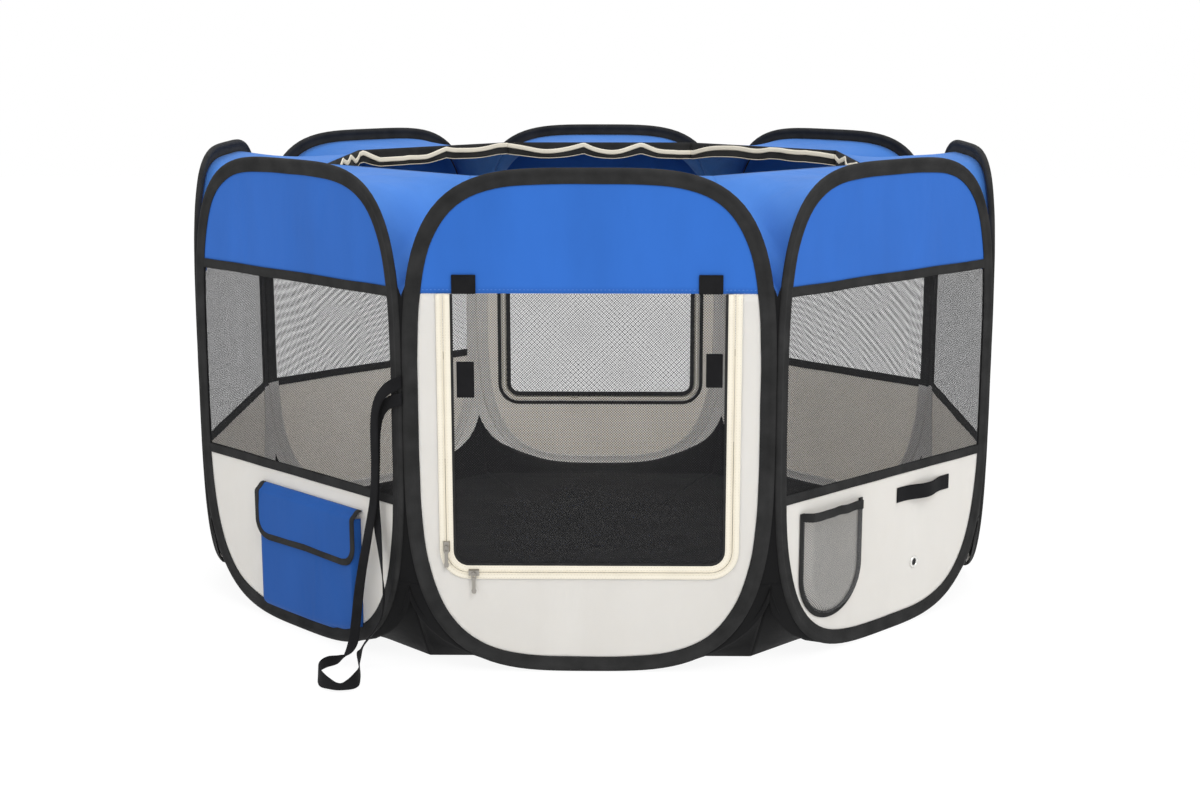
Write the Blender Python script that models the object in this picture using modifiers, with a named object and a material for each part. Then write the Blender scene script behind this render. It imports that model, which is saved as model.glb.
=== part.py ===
"""Foldable eight-sided dog playpen, modelled as the separate pieces that it is sewn and sprung from.

Each wall is a spring-steel hoop inside a folded black binding, and the binding clamps three cloths:
a blue band, a mesh window or mesh door, and a cream lower cloth. Eight such walls are hinged at their
seams round a floor sheet and a sloping blue rim.

Frame: metres, +Z up, origin on the ground at the centre of the octagon, front wall facing -Y.
Every wall is drawn where the front wall stands and then turned about Z to its own place.
In a wall's own section, u runs from the wall's edge towards its middle, and v runs outwards.
"""
import math

import bmesh
import bpy
from mathutils import Matrix, Vector

# Overall size
WALL_COUNT = 8
ACROSS_CORNERS = 1.10
HEIGHT = 0.58
EDGE_SETBACK = 0.0002           # from the octagon's corner to a wall's edge

# Outline of a wall: a hoop that springs into a superellipse
TOP_SQUARENESS = 3.9
BOTTOM_SQUARENESS = 3.4
HOOP_POINTS = 28

# Folded binding and the steel hoop inside it
WIRE_RADIUS = 0.0020
WIRE_CLEARANCE = 0.00025
BINDING_CLOTH = 0.00115         # the tape's thickness round the wire
BINDING_WIDTH = 0.018
TAPE_CLOTH = 0.0008             # the tape's thickness at its free edges
CLOTH = 0.0010                  # thickness of the wall's cloths
GAP = 0.0003                    # between pieces that touch

# Heights of the cloths in a wall
WINDOW_TOP = 0.4405
WINDOW_BOTTOM = 0.2005
CROSS_TAPE_WIDTH = 0.015
CROSS_TAPE_CLOTH = 0.0006
SHEET_INSET = 0.0066            # cloth edge behind the wall's edge, just past the wire

# Doors in the front and back walls, closed by a U-shaped zip
DOOR_HALF_WIDTH = 0.163         # to the zip's centre line
DOOR_BOTTOM = 0.119
DOOR_CORNER_RADIUS = 0.025
DOOR_CORNER_STEPS = 4
ZIP_TAPE_WIDTH = 0.008          # one half, from the centre line
ZIP_TAPE_THICKNESS = 0.0008
ZIP_BEAD_WIDTH = 0.0018
ZIP_BEAD_THICKNESS = 0.0016
ZIP_SEAM = 0.003                # door cloths end this far from the zip's centre line
HEM_AXIS_CLEARANCE = 0.0002

# Zip sliders and their pulls
SLIDER_LENGTH = 0.012
SLIDER_WIDTH = 0.0082
SLIDER_TOP = 0.0024             # thickness above the beads
ARCH_WIDTH = 0.0020
ARCH_WALL = 0.0008
ARCH_CLEAR = 0.0004             # round the pull's bar
PULL_BAR_RADIUS = 0.0007
PULL_WIDTH = 0.0058
PULL_LENGTH = 0.024
PULL_THICKNESS = 0.0012
PULL_EYE_WIDTH = 0.0032
PULL_EYE_LENGTH = 0.0048
BACK_SLIDER_X = 0.043           # the back door's slider rests part-way along the bottom run

# Hook-and-loop tabs that tie up the rolled front door
TAB_WIDTH = 0.027
TAB_HEIGHT = 0.0215
TAB_THICKNESS = 0.0024
TAB_LEFT_X = -0.1394
TAB_RIGHT_X = 0.1355

# Patch pocket with a flap, on the front-left wall
POCKET_X = (-0.068, 0.128)
POCKET_Z = (0.041, 0.166)
POCKET_DEPTH = 0.012
POCKET_WALL = 0.0010
POCKET_ROUNDING = 0.45          # of the depth, at its front edges
FLAP_TOP = 0.176
FLAP_BOTTOM = 0.110
FLAP_OVERHANG = 0.0035          # beyond the pocket at each side
FLAP_CORNER_RADIUS = 0.022
FLAP_CORNER_STEPS = 3
FLAP_THICKNESS = 0.0012

# Mesh pocket and bottle strap, on the front-right wall
MESH_POCKET_X = (-0.171, -0.056)         # inside
MESH_POCKET_Z = (0.059, 0.181)
MESH_POCKET_RADIUS = 0.057
MESH_POCKET_STEPS = 4           # round each lower corner
MESH_POCKET_DEPTH = 0.010
MESH_POCKET_SLOPE = 0.8         # how far its sides lean in, per depth
MESH_POCKET_WALL = 0.0010
BOTTLE_STRAP_X = (0.0205, 0.128)
BOTTLE_STRAP_Z = 0.171
BOTTLE_STRAP_WIDTH = 0.015
BOTTLE_STRAP_RISE = 0.0085      # slack in its middle
BOTTLE_STRAP_END = 0.014        # the stitched length at each end
BOTTLE_STRAP_STEPS = 12
WEBBING = 0.0012

# Rim that slopes inwards from the tops of the walls, with the zip half for the missing roof
RIM_WIDTH = 0.160
RIM_INNER_Z = 0.556
RIM_CLOTH = 0.0008
RIM_APEX_Z = 0.445              # where the rim's corner web runs down into the seam
RIM_SAG = 0.006
RIM_TAPE_DROP = 0.022
RIM_TAPE_CLOTH = 0.0010
RIM_TAPE_WAVE = 0.0035
RIM_TAPE_STEPS = 6              # along each wall
WEB_INSET = 0.0065              # rim and floor are sewn this far behind the wall's edge

# Floor sheet
FLOOR_CLOTH = 0.0010
FLOOR_APEX_Z = 0.135
FLOOR_FLAT_INSET = 0.050        # the floor lies flat this far inside the walls

# Webbing loop that ties the folded pen, both ends sewn into the seam left of the front wall.
# Each entry is a point on its middle line and the way that its face looks there.
STRAP_WIDTH = 0.014
STRAP_RINGS = 64
STRAP_ROUTE = (
    ((-0.2108, -0.5089, 0.3410), (0.92, -0.38, 0.00)),
    ((-0.2124, -0.5126, 0.3405), (0.78, -0.63, 0.00)),
    ((-0.2190, -0.5128, 0.3380), (-0.20, -0.98, 0.00)),
    ((-0.2289, -0.5085, 0.3310), (-0.71, -0.71, 0.00)),
    ((-0.2374, -0.5018, 0.3200), (-0.71, -0.71, 0.00)),
    ((-0.2430, -0.4968, 0.3030), (-0.71, -0.71, 0.00)),
    ((-0.2450, -0.4948, 0.2800), (-0.71, -0.71, 0.00)),
    ((-0.2450, -0.4948, 0.2400), (-0.71, -0.71, 0.00)),
    ((-0.2481, -0.4917, 0.1980), (-0.71, -0.71, 0.00)),
    ((-0.2564, -0.4841, 0.1550), (-0.64, -0.77, 0.00)),
    ((-0.2649, -0.4763, 0.1150), (-0.57, -0.82, 0.00)),
    ((-0.2710, -0.4722, 0.0800), (-0.50, -0.87, 0.00)),
    ((-0.2755, -0.4705, 0.0450), (-0.45, -0.88, 0.15)),
    ((-0.2788, -0.4748, 0.0220), (-0.35, -0.70, 0.62)),
    ((-0.2845, -0.4865, 0.0110), (-0.45, 0.10, 0.88)),
    ((-0.2933, -0.4965, 0.0085), (-0.68, 0.60, 0.40)),
    ((-0.3045, -0.5045, 0.0085), (-0.75, 0.62, 0.10)),
    ((-0.3105, -0.5190, 0.0085), (-0.99, 0.10, 0.10)),
    ((-0.3087, -0.5406, 0.0085), (-0.97, -0.20, 0.10)),
    ((-0.3008, -0.5609, 0.0065), (-0.60, -0.50, 0.62)),
    ((-0.2889, -0.5713, 0.0045), (-0.10, -0.28, 0.95)),
    ((-0.2769, -0.5748, 0.0045), (0.05, -0.25, 0.96)),
    ((-0.2655, -0.5665, 0.0060), (0.55, -0.40, 0.72)),
    ((-0.2618, -0.5437, 0.0085), (0.98, -0.05, 0.10)),
    ((-0.2651, -0.5203, 0.0085), (0.98, 0.15, 0.10)),
    ((-0.2688, -0.5030, 0.0095), (0.98, 0.10, 0.15)),
    ((-0.2680, -0.4930, 0.0170), (0.95, 0.00, 0.30)),
    ((-0.2600, -0.4930, 0.0300), (0.80, -0.20, -0.50)),
    ((-0.2480, -0.4990, 0.0460), (0.80, -0.20, -0.55)),
    ((-0.2395, -0.5040, 0.0660), (0.95, 0.00, -0.25)),
    ((-0.2372, -0.5030, 0.0880), (1.00, 0.00, 0.00)),
    ((-0.2390, -0.4995, 0.1150), (0.97, 0.20, 0.00)),
    ((-0.2415, -0.4940, 0.1400), (0.88, 0.45, 0.00)),
    ((-0.2445, -0.4890, 0.1680), (0.71, 0.71, 0.00)),
    ((-0.2463, -0.4851, 0.2000), (0.71, 0.71, 0.00)),
    ((-0.2441, -0.4872, 0.2456), (0.71, 0.71, 0.00)),
    ((-0.2425, -0.4888, 0.2780), (0.71, 0.71, 0.00)),
    ((-0.2376, -0.4937, 0.3000), (0.71, 0.71, 0.00)),
    ((-0.2292, -0.5014, 0.3130), (0.71, 0.71, 0.00)),
    ((-0.2207, -0.5099, 0.3190), (0.45, 0.89, 0.00)),
    ((-0.2124, -0.5126, 0.3210), (-0.60, 0.80, 0.00)),
    ((-0.2108, -0.5089, 0.3210), (-0.92, 0.38, 0.00)),
)

HALF_TURN = math.pi / WALL_COUNT
SIDE = ACROSS_CORNERS * math.sin(HALF_TURN)
APOTHEM = ACROSS_CORNERS / 2 * math.cos(HALF_TURN)
BINDING_RADIUS = WIRE_RADIUS + WIRE_CLEARANCE + BINDING_CLOTH
HEX = 1 / math.cos(math.pi / 6)
WIRE_INSET = BINDING_RADIUS * HEX
SLOT_HALF = CLOTH / 2 + GAP
TAPE_FACE = SLOT_HALF + TAPE_CLOTH

WALLS = ("front", "front_right", "right", "back_right", "back", "back_left", "left", "front_left")
FRONT, FRONT_RIGHT, BACK, FRONT_LEFT = (WALLS.index(n) for n in ("front", "front_right", "back", "front_left"))
DOOR_WALLS = (FRONT, BACK)

# The walls turn at their seams like a zigzag. Each is carried by the one nearer the front wall,
# on its left for the right-hand chain and on its right for the left-hand chain.
RIGHT_CHAIN = ("front", "front_right", "right", "back_right", "back")
LEFT_CHAIN = ("front", "front_left", "left", "back_left")
OUTER_FOLDS = ("front_right", "back_right", "left")     # these close onto their carrier's outer face
POCKET_FOLDS = ("front_right", "left")                  # and here the pockets lie in between

COLLECTION = "foldable_dog_playpen"
CUTTERS = "playpen_cutters"


def clear_scene():
    for obj in list(bpy.data.objects):
        bpy.data.objects.remove(obj)


def collection(name):
    made = bpy.data.collections.get(name)
    if made is None:
        made = bpy.data.collections.new(name)
        bpy.context.scene.collection.children.link(made)
    return made


def material(name, colour, roughness, metallic=0.0):
    made = bpy.data.materials.get(name)
    if made is None:
        made = bpy.data.materials.new(name)
        made.use_nodes = True
        shader = made.node_tree.nodes["Principled BSDF"]
        shader.inputs["Base Color"].default_value = (*colour, 1.0)
        shader.inputs["Roughness"].default_value = roughness
        shader.inputs["Metallic"].default_value = metallic
    return made


def blue_cloth():
    return material("blue_polyester", (0.045, 0.165, 0.560), 0.70)


def cream_cloth():
    return material("cream_polyester", (0.720, 0.690, 0.650), 0.75)


def black_binding():
    return material("black_binding_tape", (0.016, 0.016, 0.017), 0.80)


def black_mesh():
    return material("black_mesh", (0.030, 0.030, 0.032), 0.80)


def black_floor():
    return material("black_floor_cloth", (0.018, 0.018, 0.019), 0.70)


def ivory_zip():
    return material("ivory_zip_tape", (0.830, 0.780, 0.640), 0.60)


def black_webbing():
    return material("black_webbing", (0.012, 0.012, 0.013), 0.70)


def spring_steel():
    return material("spring_steel", (0.400, 0.400, 0.420), 0.35, 1.0)


def plated_metal():
    return material("plated_zinc", (0.560, 0.540, 0.500), 0.30, 1.0)


def turned(wall):
    """Turn from the front wall's place to another wall's place."""
    return Matrix.Rotation(2 * math.pi * wall / WALL_COUNT, 4, "Z")


def standing(v=0.0):
    """Stand a flat drawing up in the front wall: x stays x, y becomes height, z becomes outwards."""
    return Matrix.Translation((0, -APOTHEM - v, 0)) @ Matrix.Rotation(math.pi / 2, 4, "X")


def in_wall(x, v, z):
    """A point in the front wall's place, from its x, its distance outwards and its height."""
    return Vector((x, -APOTHEM - v, z))


def carrier(name, point, wall, parent=None):
    """An empty on a joint's axis, at rest in line with its wall. Pieces that move with it hang from it."""
    made = bpy.data.objects.new(name, None)
    made.empty_display_size = 0.03
    collection(COLLECTION).objects.link(made)
    place = Matrix.Translation(turned(wall) @ point) @ turned(wall)
    if parent is not None:
        made.parent = parent
        place = parent.matrix_world.inverted() @ place
    made.matrix_basis = place
    bpy.context.view_layer.update()
    return made


def hang(obj, wall, parent, place=Matrix.Identity(4)):
    """Put a piece drawn in the front wall's place onto a wall, hanging from that wall's empty."""
    obj.parent = parent
    obj.matrix_basis = parent.matrix_world.inverted() @ turned(wall) @ place
    return obj


def new_object(name, data, finish, where=COLLECTION):
    obj = bpy.data.objects.new(name, data)
    if finish is not None:
        data.materials.append(finish)
    collection(where).objects.link(obj)
    return obj


def new_mesh(name, bm, finish, where=COLLECTION, looks=None):
    """A mesh object. An open sheet also says which way its faces look on the whole."""
    bmesh.ops.recalc_face_normals(bm, faces=bm.faces)
    if looks is not None:
        facing = sum((face.normal * face.calc_area() for face in bm.faces), Vector())
        if facing.dot(looks) < 0:
            bmesh.ops.reverse_faces(bm, faces=bm.faces)
    mesh = bpy.data.meshes.new(name)
    bm.to_mesh(mesh)
    bm.free()
    return new_object(name, mesh, finish, where)


def cutter(obj):
    obj.hide_render = True
    obj.display_type = "WIRE"
    return obj


def boolean(obj, other, operation):
    step = obj.modifiers.new(operation.lower(), "BOOLEAN")
    step.operation = operation
    step.solver = "EXACT"
    step.object = cutter(other)


def flat_curve(name, points, closed):
    """A drawing in its own XY plane, made of straight runs between points."""
    curve = bpy.data.curves.new(name, "CURVE")
    curve.dimensions = "2D"
    curve.render_resolution_u = 0
    spline = curve.splines.new("POLY")
    spline.points.add(len(points) - 1)
    for point, (x, y) in zip(spline.points, points):
        point.co = (x, y, 0, 1)
    spline.use_cyclic_u = closed
    return curve


def sheet(name, outline, thickness, finish, where=COLLECTION):
    """A flat cloth or plate cut to a closed outline."""
    curve = flat_curve(name, outline, True)
    curve.fill_mode = "BOTH"
    curve.extrude = thickness / 2
    return new_object(name, curve, finish, where)


def signed_area(points):
    pairs = zip(points, points[1:] + points[:1])
    return sum(first[0] * second[1] - second[0] * first[1] for first, second in pairs) / 2


def sweep(name, path, closed, profile, finish):
    """A tape or binding: a closed profile carried along a flat path.

    Profile x goes to the right of an open path. A closed path is always run clockwise, so x goes inwards.
    """
    if signed_area(profile) > 0:
        profile = profile[::-1]
    drawn = flat_curve(name + "_profile", profile, True)
    drawn.fill_mode = "NONE"
    guide = cutter(new_object(name + "_profile", drawn, None, CUTTERS))
    curve = flat_curve(name, path, closed)
    curve.fill_mode = "NONE"
    curve.bevel_mode = "OBJECT"
    curve.bevel_object = guide
    curve.use_fill_caps = not closed
    return new_object(name, curve, finish)


def as_mesh(obj, finish):
    """Turn a curve object into a closed mesh object of the same name, parent and place."""
    bpy.context.view_layer.update()
    graph = bpy.context.evaluated_depsgraph_get()
    name, parent, place = obj.name, obj.parent, obj.matrix_basis.copy()
    mesh = bpy.data.meshes.new_from_object(obj.evaluated_get(graph))
    bpy.data.objects.remove(obj)
    bm = bmesh.new()
    bm.from_mesh(mesh)
    bmesh.ops.remove_doubles(bm, verts=bm.verts, dist=1e-6)
    bmesh.ops.recalc_face_normals(bm, faces=bm.faces)
    bm.to_mesh(mesh)
    bm.free()
    mesh.materials.clear()
    made = new_object(name, mesh, finish)
    made.parent = parent
    made.matrix_basis = place
    return made


def box(name, low, high, finish, where=COLLECTION):
    """A box between two corners, with its faces along the axes."""
    low, high = Vector(low), Vector(high)
    bm = bmesh.new()
    bmesh.ops.create_cube(bm, size=1.0)
    bmesh.ops.scale(bm, vec=high - low, verts=bm.verts)
    bmesh.ops.translate(bm, vec=(low + high) / 2, verts=bm.verts)
    return new_mesh(name, bm, finish, where)


def power(value, exponent):
    return math.copysign(abs(value) ** exponent, value)


def wall_outline(inset=0.0):
    """The wall's outline as (x, z) points, counter-clockwise from its right-hand side."""
    half_width = SIDE / 2 - EDGE_SETBACK
    half_height = HEIGHT / 2
    outer = []
    for step in range(HOOP_POINTS):
        turn = 2 * math.pi * step / HOOP_POINTS
        squareness = TOP_SQUARENESS if math.sin(turn) > 0 else BOTTOM_SQUARENESS
        x = half_width * power(math.cos(turn), 2 / squareness)
        z = half_height + half_height * power(math.sin(turn), 2 / squareness)
        outer.append(Vector((x, z)))
    moved = []
    for step, point in enumerate(outer):
        before = (point - outer[step - 1]).normalized()
        after = (outer[(step + 1) % HOOP_POINTS] - point).normalized()
        along = (before + after).normalized()
        moved.append(point + inset * Vector((-along.y, along.x)))
    return moved


def between(outline, low, high):
    """The part of an outline from one height to another."""
    kept = []
    for step, point in enumerate(outline):
        last = outline[step - 1]
        for level in sorted((low, high), reverse=last.y > point.y):
            if (last.y - level) * (point.y - level) < 0:
                kept.append(last.lerp(point, (level - last.y) / (point.y - last.y)))
        if low <= point.y <= high:
            kept.append(point)
    return kept


def door_path(offset=0.0, top=WINDOW_TOP):
    """The zip's U, from its left top down, along and up to its right top. Offset widens the U."""
    half = DOOR_HALF_WIDTH + offset
    bottom = DOOR_BOTTOM - offset
    radius = DOOR_CORNER_RADIUS + offset
    path = [(-half, top)]
    for side in (-1, 1):
        for step in range(DOOR_CORNER_STEPS + 1):
            turn = math.pi / 2 * step / DOOR_CORNER_STEPS
            across, down = (math.cos(turn), math.sin(turn)) if side < 0 else (math.sin(turn), math.cos(turn))
            path.append((side * (half - radius) + side * radius * across, bottom + radius - radius * down))
    path.append((half, top))
    return path


def binding_profile():
    """Section of the folded binding: a six-sided sleeve round the wire, open towards the wall's middle."""
    outer, inner = BINDING_RADIUS * HEX, (WIRE_RADIUS + WIRE_CLEARANCE) * HEX
    half = [
        (BINDING_WIDTH, TAPE_FACE),
        (WIRE_INSET + outer / 2, BINDING_RADIUS),
        (WIRE_INSET - outer / 2, BINDING_RADIUS),
    ]
    hollow = [
        (WIRE_INSET - inner / 2, WIRE_RADIUS + WIRE_CLEARANCE),
        (WIRE_INSET + inner / 2, WIRE_RADIUS + WIRE_CLEARANCE),
        (BINDING_WIDTH, SLOT_HALF),
    ]
    outside = half + [(WIRE_INSET - outer, 0)] + [(u, -v) for u, v in reversed(half)]
    inside = [(u, -v) for u, v in reversed(hollow)] + [(WIRE_INSET - inner, 0)] + hollow
    return outside + inside


def cross_tapes(wall, parent):
    """The tapes over the seams above and below a window, on both faces, as one cutter to unite."""
    half_width = SIDE / 2 - EDGE_SETBACK - BINDING_WIDTH + BINDING_WIDTH / 4
    middle = SLOT_HALF + TAPE_CLOTH / 2
    bm = bmesh.new()
    for height in (WINDOW_TOP, WINDOW_BOTTOM):
        for side in (-1, 1):
            made = bmesh.ops.create_cube(bm, size=1.0)["verts"]
            bmesh.ops.scale(bm, vec=(2 * half_width, CROSS_TAPE_CLOTH, CROSS_TAPE_WIDTH), verts=made)
            bmesh.ops.translate(bm, vec=in_wall(0, side * middle, height), verts=made)
    tapes = new_mesh(WALLS[wall] + "_cross_tapes", bm, None, CUTTERS)
    return hang(tapes, wall, parent)


def make_hoop(wall, parent):
    """Spring-steel hoop that gives the wall its shape."""
    name = WALLS[wall] + "_wire_hoop"
    curve = flat_curve(name, [tuple(p) for p in wall_outline(WIRE_INSET)], True)
    curve.dimensions = "3D"
    curve.bevel_depth = WIRE_RADIUS
    curve.bevel_resolution = 1
    hang(new_object(name, curve, spring_steel()), wall, parent, standing())


def make_binding(wall, parent):
    """Black binding folded over the hoop, with the window's cross tapes sewn to it."""
    name = WALLS[wall] + "_binding"
    made = sweep(name, [tuple(p) for p in wall_outline()], True, binding_profile(), black_binding())
    hang(made, wall, parent, standing())
    if wall not in DOOR_WALLS:
        made = as_mesh(made, black_binding())
        boolean(made, cross_tapes(wall, parent), "UNION")


def make_cloths(wall, parent):
    """Blue band, window mesh and cream lower cloth, or for a door wall the band and the surround."""
    name, outline = WALLS[wall], wall_outline(SHEET_INSET)
    band = between(outline, WINDOW_TOP + GAP, HEIGHT)
    hang(sheet(name + "_blue_band", band, CLOTH, blue_cloth()), wall, parent, standing())
    if wall in DOOR_WALLS:
        below = between(outline, 0, WINDOW_TOP - GAP)
        top_left = min(range(len(below)), key=lambda step: (-round(below[step].y, 6), below[step].x))
        around = below[top_left:] + below[:top_left]
        opening = door_path(ZIP_SEAM, WINDOW_TOP - GAP)
        surround = sheet(name + "_door_surround", around + opening[::-1], CLOTH, cream_cloth())
        hang(surround, wall, parent, standing())
        return
    window = between(outline, WINDOW_BOTTOM + GAP, WINDOW_TOP - GAP)
    hang(sheet(name + "_mesh_window", window, CLOTH, black_mesh()), wall, parent, standing())
    lower = between(outline, 0, WINDOW_BOTTOM - GAP)
    hang(sheet(name + "_lower_cloth", lower, CLOTH, cream_cloth()), wall, parent, standing())


def zip_profile(side):
    """Section of one zip half: its tape and the bead of its coil. Side 1 is the half right of the path."""
    near, face = GAP, SLOT_HALF
    half = [
        (near, face),
        (ZIP_TAPE_WIDTH, face),
        (ZIP_TAPE_WIDTH, face + ZIP_TAPE_THICKNESS),
        (ZIP_BEAD_WIDTH, face + ZIP_TAPE_THICKNESS),
        (ZIP_BEAD_WIDTH, face + ZIP_BEAD_THICKNESS),
        (near, face + ZIP_BEAD_THICKNESS),
    ]
    return [(side * u, v) for u, v in half]


def hem_axis():
    """Point on the line that a door swings about: under the blue band's hem, just outside its zip."""
    return in_wall(0, SLOT_HALF + ZIP_BEAD_THICKNESS + HEM_AXIS_CLEARANCE, WINDOW_TOP)


def make_door(wall, parent):
    """Mesh door with its zip half, and the other zip half sewn to the surround."""
    name = WALLS[wall]
    door = carrier(name + "_door_hem", hem_axis(), wall, parent)
    path = door_path(0.0, WINDOW_TOP - GAP)
    frame_half = sweep(name + "_zip_surround_half", path, False, zip_profile(1), ivory_zip())
    hang(frame_half, wall, parent, standing())
    door_half = sweep(name + "_zip_door_half", path, False, zip_profile(-1), ivory_zip())
    hang(door_half, wall, door, standing())
    mesh = sheet(name + "_mesh_door", door_path(-ZIP_SEAM, WINDOW_TOP - GAP), CLOTH, black_mesh())
    hang(mesh, wall, door, standing())
    return door


def slider_face():
    """Height of a slider's top plate above the wall's middle plane."""
    return SLOT_HALF + ZIP_BEAD_THICKNESS + GAP + SLIDER_TOP


def pull_axis_v():
    """Height of a pull's bar above the wall's middle plane."""
    return slider_face() + ARCH_CLEAR + PULL_BAR_RADIUS


def make_slider(name, wall, door, x, z, upright):
    """Zip slider: a plate that grips both beads, with a small arch that holds the pull's bar."""
    run = carrier(name + "_run", in_wall(x, 0, z), wall, door)
    bead_top = SLOT_HALF + ZIP_BEAD_THICKNESS + GAP
    lip_foot = SLOT_HALF + ZIP_TAPE_THICKNESS + GAP
    groove = ZIP_BEAD_WIDTH + GAP
    half, crown = SLIDER_WIDTH / 2, SLIDER_WIDTH / 2 - SLIDER_TOP / 2
    section = [
        (-half, lip_foot), (-groove, lip_foot), (-groove, bead_top), (groove, bead_top),
        (groove, lip_foot), (half, lip_foot), (crown, slider_face()), (-crown, slider_face()),
    ]
    along = Matrix.Rotation(math.pi, 4, "Z")
    if not upright:
        along = Matrix.Rotation(math.pi / 2, 4, "Y") @ along
    body = sheet(name, section, SLIDER_LENGTH, plated_metal())
    hang(body, wall, run, Matrix.Translation(in_wall(x, 0, z)) @ along)
    body = as_mesh(body, plated_metal())
    opening = PULL_BAR_RADIUS + ARCH_CLEAR
    reach = opening + ARCH_WALL
    centre = pull_axis_v()
    arch = box(name + "_arch", in_wall(x - ARCH_WIDTH / 2, centre + reach, z - reach),
               in_wall(x + ARCH_WIDTH / 2, slider_face() - GAP, z + reach), None, CUTTERS)
    bore = box(name + "_arch_bore", in_wall(x - ARCH_WIDTH, centre + opening, z - opening),
               in_wall(x + ARCH_WIDTH, centre - opening, z + opening), None, CUTTERS)
    boolean(body, hang(arch, wall, run), "UNION")
    boolean(body, hang(bore, wall, run), "DIFFERENCE")
    return run


def make_pull(name, wall, run, x, z):
    """Zip pull: a flat tag whose eye leaves a round bar that turns in the slider's arch."""
    centre = pull_axis_v()
    swing = carrier(name + "_bar", in_wall(x, centre, z), wall, run)
    half, shoulder, eye, low = PULL_WIDTH / 2, PULL_WIDTH / 3, PULL_EYE_WIDTH / 2, -PULL_LENGTH
    right = [
        (eye, 0), (half, 0), (half, -PULL_EYE_LENGTH * 1.2), (shoulder, -PULL_EYE_LENGTH * 1.6),
        (shoulder, low * 0.75), (half, low * 0.85), (half * 0.8, low * 0.97), (half * 0.4, low),
    ]
    left = [(-across, down) for across, down in reversed(right)]
    outline = right + left + [(-eye, -PULL_EYE_LENGTH), (eye, -PULL_EYE_LENGTH)]
    tag = sheet(name, outline, PULL_THICKNESS, plated_metal())
    tag = as_mesh(hang(tag, wall, swing, Matrix.Translation((x, 0, z)) @ standing(centre)), plated_metal())
    bm = bmesh.new()
    bmesh.ops.create_cone(bm, cap_ends=True, segments=8, radius1=PULL_BAR_RADIUS, radius2=PULL_BAR_RADIUS,
                          depth=(PULL_WIDTH + PULL_EYE_WIDTH) / 2)
    bmesh.ops.rotate(bm, matrix=Matrix.Rotation(math.pi / 2, 3, "Y"), verts=bm.verts)
    bmesh.ops.translate(bm, vec=in_wall(x, centre, z), verts=bm.verts)
    boolean(tag, hang(new_mesh(name + "_round_bar", bm, None, CUTTERS), wall, swing), "UNION")


def make_front_fittings(parent, door):
    """Two sliders that meet at the lower left corner, their pulls, and the door's two tie tabs."""
    side_z = DOOR_BOTTOM + DOOR_CORNER_RADIUS + SLIDER_LENGTH / 2
    run = make_slider("front_side_slider", FRONT, door, -DOOR_HALF_WIDTH, side_z, True)
    make_pull("front_side_pull", FRONT, run, -DOOR_HALF_WIDTH, side_z)
    bottom_x = -DOOR_HALF_WIDTH + DOOR_CORNER_RADIUS + SLIDER_LENGTH / 2
    run = make_slider("front_bottom_slider", FRONT, door, bottom_x, DOOR_BOTTOM, False)
    make_pull("front_bottom_pull", FRONT, run, bottom_x, DOOR_BOTTOM)
    for name, x in (("left_door_tab", TAB_LEFT_X), ("right_door_tab", TAB_RIGHT_X)):
        low = in_wall(x - TAB_WIDTH / 2, SLOT_HALF + TAB_THICKNESS, WINDOW_TOP)
        high = in_wall(x + TAB_WIDTH / 2, SLOT_HALF, WINDOW_TOP + TAB_HEIGHT)
        tab = box(name, low, high, black_webbing())
        soften = tab.modifiers.new("soft_edges", "BEVEL")
        soften.width = TAB_THICKNESS / 4
        soften.segments = 1
        hang(tab, FRONT, parent)


def make_pocket(parent):
    """Blue patch pocket: front, sides and bottom of cloth, open at the top and sewn to the wall's cloth."""
    (left, right), (low, top) = POCKET_X, POCKET_Z
    back, face = SLOT_HALF, SLOT_HALF + POCKET_DEPTH
    bm = bmesh.new()
    corner = {(i, j, k): bm.verts.new(in_wall((left, right)[i], (back, face)[j], (low, top)[k]))
              for i in (0, 1) for j in (0, 1) for k in (0, 1)}
    bm.faces.new([corner[0, 1, 0], corner[1, 1, 0], corner[1, 1, 1], corner[0, 1, 1]])
    bm.faces.new([corner[0, 0, 0], corner[1, 0, 0], corner[1, 1, 0], corner[0, 1, 0]])
    bm.faces.new([corner[0, 0, 0], corner[0, 1, 0], corner[0, 1, 1], corner[0, 0, 1]])
    bm.faces.new([corner[1, 1, 0], corner[1, 0, 0], corner[1, 0, 1], corner[1, 1, 1]])
    upright = [e for e in bm.edges if all(abs(v.co.y - in_wall(0, face, 0).y) < 1e-9 for v in e.verts)
               and not all(abs(v.co.z - top) < 1e-9 for v in e.verts)]
    bmesh.ops.bevel(bm, geom=upright, offset=POCKET_DEPTH * POCKET_ROUNDING, segments=2, profile=0.5, affect="EDGES")
    pocket = new_mesh("patch_pocket", bm, blue_cloth(), looks=Vector((0, -1, 0)))
    wall = pocket.modifiers.new("cloth", "SOLIDIFY")
    wall.thickness = POCKET_WALL
    wall.offset = -1.0
    hang(pocket, FRONT_LEFT, parent)


def flap_axis():
    """Point on the line that the pocket flap lifts about."""
    return in_wall(0, SLOT_HALF + FLAP_THICKNESS / 2, FLAP_TOP)


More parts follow.
